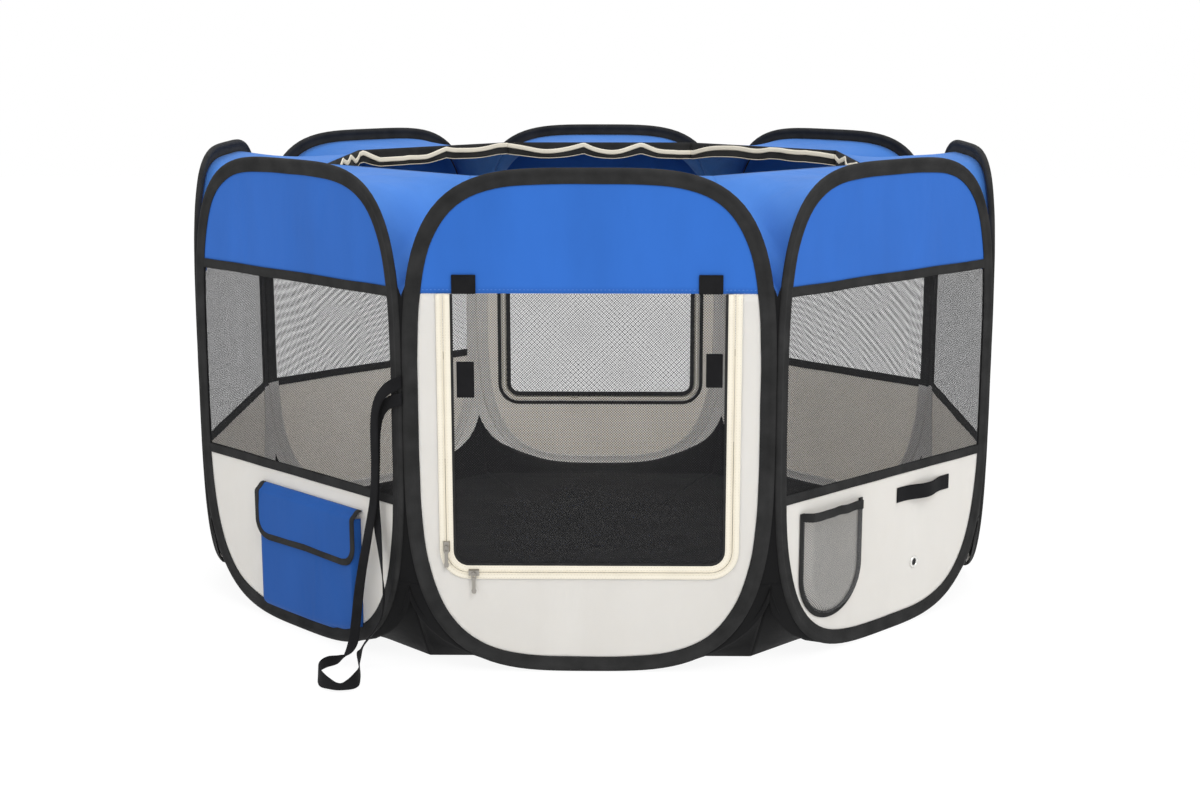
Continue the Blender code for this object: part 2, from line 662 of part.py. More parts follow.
def make_flap(parent):
    """Pocket flap: a bound cloth that comes out over the pocket's mouth and hangs down its front."""
    (left, right), (_, top) = POCKET_X, POCKET_Z
    left, right = left - FLAP_OVERHANG, right + FLAP_OVERHANG
    start = SLOT_HALF + FLAP_THICKNESS / 2
    front = SLOT_HALF + POCKET_DEPTH + GAP + FLAP_THICKNESS / 2
    shoulder = top + FLAP_THICKNESS + GAP
    side = [(start, FLAP_TOP), ((start + 2 * front) / 3, (FLAP_TOP * 4 + shoulder) / 5), (front, shoulder),
            (front, FLAP_BOTTOM + FLAP_CORNER_RADIUS)]
    for step in range(1, FLAP_CORNER_STEPS + 1):
        turn = math.pi / 2 * step / FLAP_CORNER_STEPS
        side.append((front, FLAP_BOTTOM + FLAP_CORNER_RADIUS * (1 - math.sin(turn))))
    bm = bmesh.new()
    rows = []
    for v, z in side:
        rise = min(1.0, (z - FLAP_BOTTOM) / FLAP_CORNER_RADIUS)
        pull_in = FLAP_CORNER_RADIUS * (1 - math.sqrt(max(0.0, 1 - (1 - rise) ** 2)))
        rows.append([bm.verts.new(in_wall(x, v, z)) for x in (left + pull_in, right - pull_in)])
    for upper, lower in zip(rows, rows[1:]):
        bm.faces.new((upper[0], lower[0], lower[1], upper[1]))
    flap = new_mesh("pocket_flap", bm, blue_cloth())
    cloth = flap.modifiers.new("cloth", "SOLIDIFY")
    cloth.thickness = FLAP_THICKNESS
    cloth.offset = 0.0
    hang(flap, FRONT_LEFT, carrier("pocket_flap_hem", flap_axis(), FRONT_LEFT, parent))


def make_mesh_pocket(parent):
    """U-shaped mesh pocket: its face stands off the cloth and its rounded edge comes back to it."""
    (left, right), (low, top) = MESH_POCKET_X, MESH_POCKET_Z
    radius = MESH_POCKET_RADIUS
    outline = [(left, top)]
    for side, middle in ((-1, left + radius), (1, right - radius)):
        for step in range(MESH_POCKET_STEPS + 1):
            turn = math.pi / 2 * step / MESH_POCKET_STEPS
            across, down = (math.cos(turn), math.sin(turn)) if side < 0 else (math.sin(turn), math.cos(turn))
            outline.append((middle + side * radius * across, low + radius - radius * down))
    outline.append((right, top))
    centre = Vector(((left + right) / 2, top))
    shrink = 1 - MESH_POCKET_DEPTH * MESH_POCKET_SLOPE / radius
    bm = bmesh.new()
    foot = [bm.verts.new(in_wall(x, SLOT_HALF, z)) for x, z in outline]
    face = []
    for x, z in outline:
        inner = centre + (Vector((x, z)) - centre) * shrink
        face.append(bm.verts.new(in_wall(inner.x, SLOT_HALF + MESH_POCKET_DEPTH, inner.y)))
    for step in range(len(outline) - 1):
        bm.faces.new((foot[step], foot[step + 1], face[step + 1], face[step]))
    bm.faces.new(face)
    pocket = new_mesh("mesh_pocket", bm, black_mesh(), looks=Vector((0, -1, 0)))
    cloth = pocket.modifiers.new("cloth", "SOLIDIFY")
    cloth.thickness = MESH_POCKET_WALL
    cloth.offset = 1.0
    hang(pocket, FRONT_RIGHT, parent)


def make_bottle_strap(parent):
    """Webbing strap sewn down at both ends, with slack in its middle for a bottle's neck."""
    left, right = BOTTLE_STRAP_X
    low = SLOT_HALF + WEBBING / 2
    bm = bmesh.new()
    rows = []
    for step in range(BOTTLE_STRAP_STEPS + 1):
        x = left + (right - left) * step / BOTTLE_STRAP_STEPS
        free = (x - left - BOTTLE_STRAP_END) / (right - left - 2 * BOTTLE_STRAP_END)
        rise = BOTTLE_STRAP_RISE * math.sin(math.pi * min(1.0, max(0.0, free))) ** 2
        rows.append([bm.verts.new(in_wall(x, low + rise, BOTTLE_STRAP_Z + side * BOTTLE_STRAP_WIDTH / 2))
                     for side in (-1, 1)])
    for first, second in zip(rows, rows[1:]):
        bm.faces.new((first[0], second[0], second[1], first[1]))
    strap = new_mesh("bottle_strap", bm, black_webbing())
    cloth = strap.modifiers.new("webbing", "SOLIDIFY")
    cloth.thickness = WEBBING
    cloth.offset = 0.0
    hang(strap, FRONT_RIGHT, parent)


def web_edge(low, high, outer_cloth):
    """Edge of the rim or floor along one wall: from seam to seam, behind the binding's inner face."""
    standoff = BINDING_RADIUS + outer_cloth + GAP
    seam_x = (APOTHEM - standoff) * math.tan(HALF_TURN)
    apex = low if low > 0 else high
    sewn = sorted((p.x, p.y) for p in wall_outline(WEB_INSET) if low < p.y < high)
    return [in_wall(x, -standoff, z) for x, z in [(-seam_x, apex)] + sewn + [(seam_x, apex)]]


def ruled_ring(bm, edge, inner_apothem, inner_z, rows=1, sag=0.0):
    """Lay cloth from each wall's edge to an inner octagon, and return the inner corners in order."""
    half_side = inner_apothem * math.tan(HALF_TURN)
    runs = [0.0]
    for first, second in zip(edge, edge[1:]):
        runs.append(runs[-1] + (second - first).length)
    inner_loop = []
    for wall in range(WALL_COUNT):
        strips = []
        for point, run in zip(edge, runs):
            inner = Vector((half_side * (2 * run / runs[-1] - 1), -inner_apothem, inner_z))
            strip = []
            for row in range(rows + 1):
                share = row / rows
                drop = Vector((0, 0, 4 * sag * share * (1 - share)))
                strip.append(bm.verts.new(turned(wall) @ (point.lerp(inner, share) - drop)))
            strips.append(strip)
        for first, second in zip(strips, strips[1:]):
            for row in range(rows):
                bm.faces.new((first[row], second[row], second[row + 1], first[row + 1]))
        inner_loop += [strip[-1] for strip in strips[:-1]]
    return inner_loop


def make_rim(parent):
    """Blue rim: a ring of cloth that slopes in from the walls' tops and webs down into each seam."""
    bm = bmesh.new()
    edge = web_edge(RIM_APEX_Z, HEIGHT, RIM_CLOTH / 2)
    ruled_ring(bm, edge, APOTHEM - RIM_WIDTH, RIM_INNER_Z, rows=2, sag=RIM_SAG)
    bmesh.ops.remove_doubles(bm, verts=bm.verts, dist=1e-6)
    rim = new_mesh("top_rim", bm, blue_cloth(), looks=Vector((0, 0, 1)))
    cloth = rim.modifiers.new("cloth", "SOLIDIFY")
    cloth.thickness = RIM_CLOTH
    cloth.offset = 0.0
    hang(rim, FRONT, parent)


def make_rim_tape(parent):
    """Zip half that hangs in gentle waves from the rim's inner edge."""
    top = RIM_INNER_Z + RIM_CLOTH / 2
    inner = APOTHEM - RIM_WIDTH - RIM_CLOTH / 2 - GAP - RIM_TAPE_CLOTH / 2
    bm = bmesh.new()
    rows = []
    for wall in range(WALL_COUNT):
        for step in range(RIM_TAPE_STEPS):
            share = step / RIM_TAPE_STEPS
            along = inner * math.tan(HALF_TURN) * (2 * share - 1)
            wave = RIM_TAPE_WAVE * (1 - math.cos(2 * math.pi * share)) / 2
            row = [Vector((along, -inner, top)), Vector((along, wave - inner, top - RIM_TAPE_DROP))]
            rows.append([bm.verts.new(turned(wall) @ p) for p in row])
    for first, second in zip(rows, rows[1:] + rows[:1]):
        bm.faces.new((first[0], second[0], second[1], first[1]))
    tape = new_mesh("rim_zip_tape", bm, ivory_zip())
    cloth = tape.modifiers.new("tape", "SOLIDIFY")
    cloth.thickness = RIM_TAPE_CLOTH
    cloth.offset = 0.0
    hang(tape, FRONT, parent)


def make_floor(parent):
    """Black floor sheet: flat on the ground, turned up to the walls' bottoms and webbed into the seams."""
    bm = bmesh.new()
    edge = web_edge(0.0, FLOOR_APEX_Z, FLOOR_CLOTH)
    bm.faces.new(ruled_ring(bm, edge, APOTHEM - FLOOR_FLAT_INSET, FLOOR_CLOTH))
    bmesh.ops.remove_doubles(bm, verts=bm.verts, dist=1e-6)
    floor = new_mesh("floor_sheet", bm, black_floor(), looks=Vector((0, 0, 1)))
    cloth = floor.modifiers.new("cloth", "SOLIDIFY")
    cloth.thickness = FLOOR_CLOTH
    cloth.offset = -1.0
    hang(floor, FRONT, parent)


def smooth_point(values, place):
    """Point at a place, counted in spans, on the smooth curve through a list of vectors."""
    span = min(int(place), len(values) - 2)
    t = place - span
    before, start = values[max(span - 1, 0)], values[span]
    end, after = values[span + 1], values[min(span + 2, len(values) - 1)]
    bend = (2 * before - 5 * start + 4 * end - after) * t * t
    return start + ((end - before) * t + bend + (3 * start - before - 3 * end + after) * t ** 3) / 2


def make_hanging_strap(parent):
    """Flat webbing that hangs from the seam, lies in a loop on the ground and comes back up."""
    points = [Vector(point) for point, _ in STRAP_ROUTE]
    looks = [Vector(face) for _, face in STRAP_ROUTE]
    spans = len(points) - 1
    bm = bmesh.new()
    rows, length, last = [], 0.0, points[0]
    for ring in range(STRAP_RINGS + 1):
        place = spans * ring / STRAP_RINGS
        here = smooth_point(points, place)
        ahead = smooth_point(points, min(place + 0.05, spans))
        behind = smooth_point(points, max(place - 0.05, 0))
        across = (ahead - behind).cross(smooth_point(looks, place)).normalized() * STRAP_WIDTH / 2
        rows.append([bm.verts.new(here + side * across) for side in (-1, 1)])
        length += (here - last).length
        last = here
    for first, second in zip(rows, rows[1:]):
        bm.faces.new((first[0], second[0], second[1], first[1]))
    print(f"hanging strap length {length:.3f} m")
    strap = new_mesh("hanging_strap", bm, black_webbing())
    cloth = strap.modifiers.new("webbing", "SOLIDIFY")
    cloth.thickness = WEBBING
    cloth.offset = 0.0
    hang(strap, FRONT, parent)


def fold_pitch(name):
    """How far apart two neighbouring walls' middle planes lie once the pen is folded up."""
    cloths_between = 2 * (FLOOR_CLOTH + RIM_CLOTH + GAP)
    if name in POCKET_FOLDS:
        return BINDING_RADIUS + SLOT_HALF + POCKET_DEPTH + FLAP_THICKNESS + GAP + cloths_between
    return 2 * BINDING_RADIUS + cloths_between


def seam_axis(name, side):
    """The line that a wall turns about, as a point in that wall's own drawing."""
    corner = Vector((side * SIDE / 2, -APOTHEM, 0))
    reach = fold_pitch(name) / 2 / math.cos(HALF_TURN)
    if name in OUTER_FOLDS:
        reach = -reach
    return corner - corner.normalized() * reach


def make_carriers():
    """One empty for each wall, on its seam's axis and carried by the wall before it in its chain."""
    carriers = {FRONT: carrier("front_wall", Vector((0, -APOTHEM, 0)), FRONT)}
    for chain, side in ((RIGHT_CHAIN, -1), (LEFT_CHAIN, 1)):
        for before, name in zip(chain, chain[1:]):
            wall = WALLS.index(name)
            held_by = carriers[WALLS.index(before)]
            carriers[wall] = carrier(name + "_wall", seam_axis(name, side), wall, held_by)
    return carriers


def build():
    clear_scene()
    carriers = make_carriers()
    for wall, parent in carriers.items():
        make_hoop(wall, parent)
        make_binding(wall, parent)
        make_cloths(wall, parent)
    front_door = make_door(FRONT, carriers[FRONT])
    back_door = make_door(BACK, carriers[BACK])
    make_front_fittings(carriers[FRONT], front_door)
    run = make_slider("back_slider", BACK, back_door, BACK_SLIDER_X, DOOR_BOTTOM, False)
    make_pull("back_pull", BACK, run, BACK_SLIDER_X, DOOR_BOTTOM)
    make_pocket(carriers[FRONT_LEFT])
    make_flap(carriers[FRONT_LEFT])
    make_mesh_pocket(carriers[FRONT_RIGHT])
    make_bottle_strap(carriers[FRONT_RIGHT])
    make_rim(carriers[FRONT])
    make_rim_tape(carriers[FRONT])
    make_floor(carriers[FRONT])
    make_hanging_strap(carriers[FRONT])


build()
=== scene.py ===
# %% [markdown]
# # A foldable dog playpen
# Eight sprung hoops are sewn into black bindings, and each binding clamps its wall's cloths. The packed
# model gives the hoops, the zip sliders and the joints, and this lesson sews the cloth on to them.
# Everything is in metres, with +Z up and the front door facing -Y.

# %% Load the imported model
import math

import bmesh
import bpy
from mathutils import Matrix, Vector, noise


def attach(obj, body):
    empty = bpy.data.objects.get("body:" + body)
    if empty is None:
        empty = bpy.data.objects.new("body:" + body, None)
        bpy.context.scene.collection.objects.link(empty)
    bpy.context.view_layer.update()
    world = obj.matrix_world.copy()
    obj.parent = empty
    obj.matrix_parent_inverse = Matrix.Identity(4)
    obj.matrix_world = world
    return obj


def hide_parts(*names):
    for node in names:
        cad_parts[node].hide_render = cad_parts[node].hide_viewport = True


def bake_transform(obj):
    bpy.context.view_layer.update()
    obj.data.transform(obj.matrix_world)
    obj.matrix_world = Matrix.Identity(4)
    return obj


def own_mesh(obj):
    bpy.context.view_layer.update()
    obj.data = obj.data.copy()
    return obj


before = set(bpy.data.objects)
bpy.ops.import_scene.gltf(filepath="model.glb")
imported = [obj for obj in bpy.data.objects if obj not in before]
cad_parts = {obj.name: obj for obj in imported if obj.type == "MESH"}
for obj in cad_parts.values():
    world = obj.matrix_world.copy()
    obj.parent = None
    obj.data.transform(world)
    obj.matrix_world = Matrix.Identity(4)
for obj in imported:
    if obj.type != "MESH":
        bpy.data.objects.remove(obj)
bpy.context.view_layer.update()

# %% [markdown]
# ## The sizes that everything shares
# The pen is a regular octagon, so one wall is drawn where the front wall stands and then turned about Z.
# A wall's own drawing has x along the wall, z up and v outwards from its middle plane. The walls could be
# modelled one by one, but then a change of size would have to be made eight times.

# %% Sizes of the pen
WALLS = ("front", "front_right", "right", "back_right", "back", "back_left", "left", "front_left")
ACROSS_CORNERS, HEIGHT = 1.10, 0.58
# Half of the turn from one wall to the next.
HALF_TURN = math.pi / len(WALLS)
SIDE = ACROSS_CORNERS * math.sin(HALF_TURN)
APOTHEM = ACROSS_CORNERS / 2 * math.cos(HALF_TURN)
EDGE_SETBACK = 0.0002
TOP_SQUARENESS, BOTTOM_SQUARENESS = 3.9, 3.4
BINDING_RADIUS, BINDING_WIDTH = 0.0034, 0.018
CLOTH, MESH_CLOTH, GAP, SHEET_INSET = 0.0009, 0.00025, 0.0003, 0.0066
SLOT_HALF = 0.0008
WINDOW_TOP, WINDOW_BOTTOM = 0.4405, 0.2005
DOOR_HALF_WIDTH, DOOR_BOTTOM, DOOR_CORNER_RADIUS, ZIP_SEAM = 0.163, 0.119, 0.025, 0.003


def at_wall(wall, x, v, z):
    """A point of a wall's own drawing, in the pen's frame."""
    return Matrix.Rotation(2 * HALF_TURN * wall, 3, "Z") @ Vector((x, -APOTHEM - v, z))


def outward(wall):
    """The way that a wall faces."""
    return at_wall(wall, 0, 1, 0) - at_wall(wall, 0, 0, 0)


def ease(value, low, high):
    """0 below low, 1 above high and a smooth rise between them."""
    share = min(1.0, max(0.0, (value - low) / (high - low)))
    return share * share * (3 - 2 * share)


def ripple(x, z, seed, fineness):
    """Gentle unevenness from -1 to 1, the same at every run."""
    return noise.noise(Vector((x * fineness, z * fineness, seed)))


print("side", round(SIDE, 4), "apothem", round(APOTHEM, 4))

# %% [markdown]
# ## The camera
# It stands where the photograph's did: 0.7 m up and 2.5 m from the pen's middle, looking slightly down. It
# could be moved until the view looks right. Its place and lens were fitted to the pen's corners instead, so
# that what differs from the photograph is the model and not the view.

# %% Camera
view = bpy.data.cameras.new("view")
view.sensor_width, view.lens = 36.0, 53.75
view.clip_end = 60.0
camera = bpy.data.objects.new("view", view)
bpy.context.scene.collection.objects.link(camera)
camera.location = (0.0372, -2.4813, 0.718)
camera.rotation_euler = (math.radians(78.607), 0.0, math.radians(0.723))
bpy.context.scene.camera = camera
print("lens", view.lens)

# %% [markdown]
# ## Cloth finishes
# Woven cloth is threads over and under each other, so its bump is two sets of fine bands that cross.
# A broad noise adds the soft creases of polyester that has been folded. Each sheet's UV map is in metres,
# so the threads have the same size on every piece. An image of cloth could do this too, but it would need a
# file and blur when seen from close by.

# %% Nodes, threads and bumps
def shader_of(name, colour, roughness, metallic=0.0, sheen=0.0, gloss=0.5):
    """A new material, its node tree and its main shader. Gloss is the shader's specular level."""
    made = bpy.data.materials.new(name)
    made.use_nodes = True
    shader = made.node_tree.nodes["Principled BSDF"]
    shader.inputs["Base Color"].default_value = (*colour, 1.0)
    shader.inputs["Roughness"].default_value = roughness
    shader.inputs["Metallic"].default_value = metallic
    shader.inputs["Sheen Weight"].default_value = sheen
    shader.inputs["Specular IOR Level"].default_value = gloss
    return made, made.node_tree, shader


def node(tree, kind, **values):
    """Add a node, set its sockets by name, and set its other values."""
    made = tree.nodes.new(kind)
    for key, value in values.items():
        socket = made.inputs.get(key.replace("_", " ").title())
        if socket is None:
            setattr(made, key, value)
        else:
            socket.default_value = value
    return made


def bands(tree, place, direction, pitch):
    """Threads that lie pitch apart."""
    made = node(tree, "ShaderNodeTexWave", bands_direction=direction)
    made.inputs["Scale"].default_value = math.pi / 10 / pitch
    tree.links.new(place, made.inputs["Vector"])
    return made.outputs["Fac"]


def bump(tree, height, distance, strength, under=None):
    """Raise a surface by a height map, on top of another bump if one is given."""
    made = node(tree, "ShaderNodeBump", strength=strength, distance=distance)
    tree.links.new(height, made.inputs["Height"])
    if under is not None:
        tree.links.new(under, made.inputs["Normal"])
    return made.outputs["Normal"]


print("node helpers ready")


# %% Uneven colour and wear
def streaked(tree, place):
    """Object coordinates squeezed in height, so that a noise runs in upright streaks."""
    made = node(tree, "ShaderNodeMapping")
    made.inputs["Scale"].default_value = (1.0, 1.0, 0.35)
    tree.links.new(place.outputs["Object"], made.inputs["Vector"])
    return made.outputs["Vector"]


def clouds(tree, place, scale, detail, distortion=0.0):
    """A noise that drifts from 0 to 1."""
    made = node(tree, "ShaderNodeTexNoise", scale=scale, detail=detail, distortion=distortion)
    tree.links.new(place, made.inputs["Vector"])
    return made.outputs["Fac"]


def stretched_range(tree, value, side, low, high):
    """Stretch a value from or to a new range. Side says which: From or To."""
    made = node(tree, "ShaderNodeMapRange")
    made.inputs[side + " Min"].default_value = low
    made.inputs[side + " Max"].default_value = high
    tree.links.new(value, made.inputs["Value"])
    return made.outputs["Result"]


def mottle(tree, shader, place, colour, fineness, darkest, lightest):
    """Uneven dye: the colour drifts between a darker and a lighter one."""
    ramp = node(tree, "ShaderNodeValToRGB")
    for element, position, share in zip(ramp.color_ramp.elements, (0.3, 0.7), (darkest, lightest)):
        element.position = position
        element.color = (*[min(1.0, c * share) for c in colour], 1.0)
    tree.links.new(clouds(tree, place, fineness, detail=4.0), ramp.inputs["Fac"])
    tree.links.new(ramp.outputs["Color"], shader.inputs["Base Color"])


print("material helpers ready")

# %% Woven cloth and tape
THREAD_PITCH = 0.0007


def woven(name, colour, gloss, creases=0.5, drift=(0.93, 1.06)):
    """Plain weave with soft creases, for the walls, rim, floor and pockets."""
    made, tree, shader = shader_of(name, colour, 0.72, sheen=0.03, gloss=gloss)
    place = node(tree, "ShaderNodeTexCoord")
    mottle(tree, shader, streaked(tree, place), colour, 14.0, *drift)
    threads = node(tree, "ShaderNodeMath", operation="MAXIMUM")
    for direction, socket in zip("XY", threads.inputs):
        tree.links.new(bands(tree, place.outputs["UV"], direction, THREAD_PITCH), socket)
    folds = clouds(tree, streaked(tree, place), scale=11.0, detail=3.0, distortion=0.7)
    soft = bump(tree, folds, distance=0.006, strength=creases)
    weave = bump(tree, threads.outputs[0], distance=0.0002, strength=0.30, under=soft)
    tree.links.new(weave, shader.inputs["Normal"])
    return made


def ribbed(name, colour, pitch=0.0010, roughness=0.80, fuzz=0.35, gloss=0.12, drift=(0.75, 1.30)):
    """Woven tape: ribs across its length and a slightly hairy face."""
    made, tree, shader = shader_of(name, colour, roughness, sheen=0.01, gloss=gloss)
    place = node(tree, "ShaderNodeTexCoord")
    mottle(tree, shader, place.outputs["Object"], colour, 40.0, *drift)
    hairs = clouds(tree, place.outputs["Object"], scale=260.0, detail=2.0)
    rough = bump(tree, hairs, distance=0.0006, strength=fuzz)
    ribs = bands(tree, place.outputs["UV"], "X", pitch)
    weave = bump(tree, ribs, distance=0.0003, strength=0.45, under=rough)
    tree.links.new(weave, shader.inputs["Normal"])
    return made


print("threads", round(0.01 / THREAD_PITCH), "to the centimetre")


# %% Mesh, thread and metal
def knitted(name, colour, cell, hole):
    """Open mesh: round holes on a lattice that stands on its corner, cut by the shader's alpha. Cell is the
    distance between two holes, and hole the share of it that a hole's radius takes."""
    made, tree, shader = shader_of(name, colour, 0.75, gloss=0.15)
    place = node(tree, "ShaderNodeTexCoord")
    turn = node(tree, "ShaderNodeMapping")
    turn.inputs["Rotation"].default_value = (0, 0, math.pi / 4)
    turn.inputs["Scale"].default_value = (1 / cell, 1 / cell, 1)
    tree.links.new(place.outputs["UV"], turn.inputs["Vector"])
    cells = node(tree, "ShaderNodeTexVoronoi", voronoi_dimensions="2D", scale=1.0, randomness=0.0)
    tree.links.new(turn.outputs["Vector"], cells.inputs["Vector"])
    blur = 0.03
    thread = stretched_range(tree, cells.outputs["Distance"], "From", hole - blur, hole + blur)
    tree.links.new(thread, shader.inputs["Alpha"])
    round_threads = bump(tree, cells.outputs["Distance"], distance=0.0004, strength=0.5)
    tree.links.new(round_threads, shader.inputs["Normal"])
    return made


def plain_thread(name, colour):
    """Sewing thread, whose colour drifts in fine uneven shades: painted shade for the light and shade on its
    twist.
    """
    made, tree, shader = shader_of(name, colour, 0.60, gloss=0.2)
    place = node(tree, "ShaderNodeTexCoord")
    mottle(tree, shader, place.outputs["Object"], colour, 900.0, darkest=0.7, lightest=1.2)
    return made


def metal(name, colour, roughness):
    """Drawn wire or plated casting with fine scratches and uneven polish."""
    made, tree, shader = shader_of(name, colour, roughness, metallic=1.0)
    place = node(tree, "ShaderNodeTexCoord")
    wear = clouds(tree, place.outputs["Object"], scale=420.0, detail=5.0)
    polish = stretched_range(tree, wear, "To", roughness * 0.7, roughness * 1.5)
    tree.links.new(polish, shader.inputs["Roughness"])
    tree.links.new(bump(tree, wear, distance=0.0001, strength=0.2), shader.inputs["Normal"])
    return made


print("five kinds of finish ready")

# %% [markdown]
# ## The playpen's finishes
# Cloth, tape, mesh, thread and metal each get a finish for every colour that they come in. A flat colour for
# each would be quicker, but black tape on black cloth would hardly show. The rim's blue is painted lighter
# than the walls', as painted light for the light that falls on its upturned face. The pocket's blue is
# painted darker, as painted shade. Both are the walls' cloth. Cream cloth lets some daylight through, which
# is why the pen is bright inside.

# %% Finishes of cloth, thread and metal
EVEN_DYE = (0.965, 1.02)
BLUE = woven("blue_polyester", (0.028, 0.138, 0.520), gloss=0.15)
# Lighter than the walls' blue cloth: painted light for the extra light on the rim's upturned face.
LIT_RIM_BLUE = woven("blue_rim_polyester_painted_light", (0.050, 0.180, 0.540), gloss=0.2, creases=0.8)
# Darker than the walls' blue cloth: painted shade for the pocket and its flap, which lie low in less light.
SHADED_POCKET_BLUE = woven("blue_pocket_polyester_painted_shade", (0.014, 0.088, 0.345), gloss=0.15)
CREAM = woven("cream_polyester", (0.762, 0.720, 0.660), gloss=0.2, drift=EVEN_DYE)
# Lighter than the walls' cream cloth: painted light that offsets the shade in the seams' creases and the
# light that comes through the cloth.
LIT_LINING_CREAM = woven("cream_lining_painted_light", (0.930, 0.900, 0.850), gloss=0.2, drift=EVEN_DYE)
FLOOR_BLACK = woven("black_floor_cloth", (0.0062, 0.0062, 0.0066), gloss=0.10, creases=0.7,
                    drift=(0.8, 1.3))
BINDING_BLACK = ribbed("black_binding_tape", (0.0235, 0.0235, 0.0236))
WEBBING_BLACK = ribbed("black_webbing", (0.0085, 0.0085, 0.0095), pitch=0.0016)
HOOK_AND_LOOP = ribbed("black_hook_and_loop", (0.0100, 0.0100, 0.0110), pitch=0.0013, fuzz=0.9)
IVORY = ribbed("ivory_zip_tape", (0.860, 0.805, 0.680), pitch=0.0009, roughness=0.7, fuzz=0.15,
               gloss=0.3, drift=(0.97, 1.02))
WINDOW_MESH = knitted("black_window_mesh", (0.030, 0.030, 0.032), cell=0.0021, hole=0.471)
POCKET_MESH = knitted("grey_pocket_mesh", (0.150, 0.150, 0.152), cell=0.0014, hole=0.466)
BLACK_THREAD = plain_thread("black_thread", (0.018, 0.018, 0.019))
BLUE_THREAD = plain_thread("blue_thread", (0.130, 0.300, 0.740))
CREAM_THREAD = plain_thread("cream_thread", (0.640, 0.590, 0.480))
SPRING_STEEL = metal("drawn_spring_steel", (0.42, 0.42, 0.44), roughness=0.34)
PLATED = metal("plated_zinc", (0.34, 0.32, 0.29), roughness=0.32)
POLISHED = metal("polished_nickel", (0.80, 0.79, 0.76), roughness=0.25)
thin = CREAM.node_tree.nodes["Principled BSDF"]
thin.inputs["Subsurface Weight"].default_value = 0.9
thin.inputs["Subsurface Radius"].default_value = (1.0, 0.96, 0.90)
thin.inputs["Subsurface Scale"].default_value = 0.0036
print("materials", len(bpy.data.materials))

# %% [markdown]
# ## Two ways to make a soft piece
# A cloth starts as its flat cut. Bisecting it into a fine grid gives it points to lift, and then Solidify
# gives it thickness. A cloth simulation could move the points, but sprung hoops hold these sheets taut, and a
# written lift gives the same result at every run. A tape is one cross-section carried along a line, which
# suits bindings and webbing.

# %% Selecting and dressing a piece
def deselect():
    for other in bpy.context.selected_objects:
        other.select_set(False)


def choose(piece):
    """Make one object the only selected one, as a click does."""
    deselect()
    piece.select_set(True)
    bpy.context.view_layer.objects.active = piece


def dressed(piece, body, finish, replaced=()):
    """Give a piece its finish, and fix it to the body that it moves with."""
    piece.data.materials.clear()
    piece.data.materials.append(finish)
    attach(piece, body)
    if replaced:
        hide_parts(*replaced)
    return piece


def fresh_primitive(name, scale=(1, 1, 1)):
    """Name the primitive that was just added, and apply its place and size to its mesh."""
    piece = bpy.context.object
    piece.name = piece.data.name = name
    piece.scale = scale
    choose(piece)
    bpy.ops.object.transform_apply(location=True, rotation=True, scale=True)
    return piece


def turn_to(piece, wall):
    """Turn a piece that was made at the front wall to its own wall."""
    piece.data.transform(Matrix.Rotation(2 * HALF_TURN * wall, 4, "Z"))
    return piece


def from_bmesh(name, bm, smooth=True):
    """An object whose mesh is the finished bm."""
    mesh = bpy.data.meshes.new(name)
    for face in bm.faces:
        face.smooth = smooth
    bm.to_mesh(mesh)
    bm.free()
    piece = bpy.data.objects.new(name, mesh)
    bpy.context.scene.collection.objects.link(piece)
    return piece


def thicken(piece, thickness, offset=0.0):
    """Solidify, applied."""
    choose(piece)
    step = piece.modifiers.new("cloth", "SOLIDIFY")
    step.thickness, step.offset = thickness, offset
    bpy.ops.object.modifier_apply(modifier=step.name)
    return piece


print("piece helpers ready")


# %% A flat cut made into cloth
def map_metres(bm, flat):
    """Lay out the UV map in metres. Flat gives a vertex's place in the flat cut."""
    layer = bm.loops.layers.uv.new("metres")
    for face in bm.faces:
        for corner in face.loops:
            corner[layer].uv = flat(corner.vert)


def area_of(outline):
    pairs = zip(outline, outline[1:] + outline[:1])
    return abs(sum(a[0] * b[1] - b[0] * a[1] for a, b in pairs)) / 2


def declare(outline):
    """Work out the size of a piece's flat cut and its area. Nothing further is done with them."""
    wide, tall = (max(p[i] for p in outline) - min(p[i] for p in outline) for i in (0, 1))
    flat = (round(wide, 3), round(tall, 3))
    area = min(area_of(outline), flat[0] * flat[1])


def cloth(name, wall, outline, lift, thickness=CLOTH, cell=0.009, offset=0.0):
    """A flat cut in a wall's drawing, lifted to v = lift(x, z) and thickened."""
    bm = bmesh.new()
    bm.faces.new([bm.verts.new((x, z, 0)) for x, z in outline])
    for axis, normal in ((0, (1, 0, 0)), (1, (0, 1, 0))):
        low, high = min(p[axis] for p in outline), max(p[axis] for p in outline)
        count = max(2, round((high - low) / cell))
        for step in range(1, count):
            at = [0, 0, 0]
            at[axis] = low + (high - low) * step / count
            everything = bm.verts[:] + bm.edges[:] + bm.faces[:]
            bmesh.ops.bisect_plane(bm, geom=everything, plane_co=at, plane_no=normal)
    map_metres(bm, lambda vert: vert.co.xy)
    for vert in bm.verts:
        x, z = vert.co.xy
        vert.co = at_wall(wall, x, lift(x, z), z)
    return thicken(from_bmesh(name, bm), thickness, offset)


# The share of its solid's thickness that the cloth of rim, floor and flap has.
SEEN_SHARE = 0.8
print("cloth is", CLOTH * 1000, "mm thick")


# %% A tape along a line
def even(points, count, closed=False):
    """The same line with its points evenly spaced."""
    line = [Vector(p) for p in points] + ([Vector(points[0])] if closed else [])
    runs = [0.0]
    for first, second in zip(line, line[1:]):
        runs.append(runs[-1] + (second - first).length)
    made, span = [], 0
    for step in range(count):
        want = runs[-1] * step / (count if closed else count - 1)
        while span < len(runs) - 2 and runs[span + 1] < want:
            span += 1
        share = (want - runs[span]) / max(runs[span + 1] - runs[span], 1e-12)
        made.append(line[span].lerp(line[span + 1], min(1.0, share)))
    return made


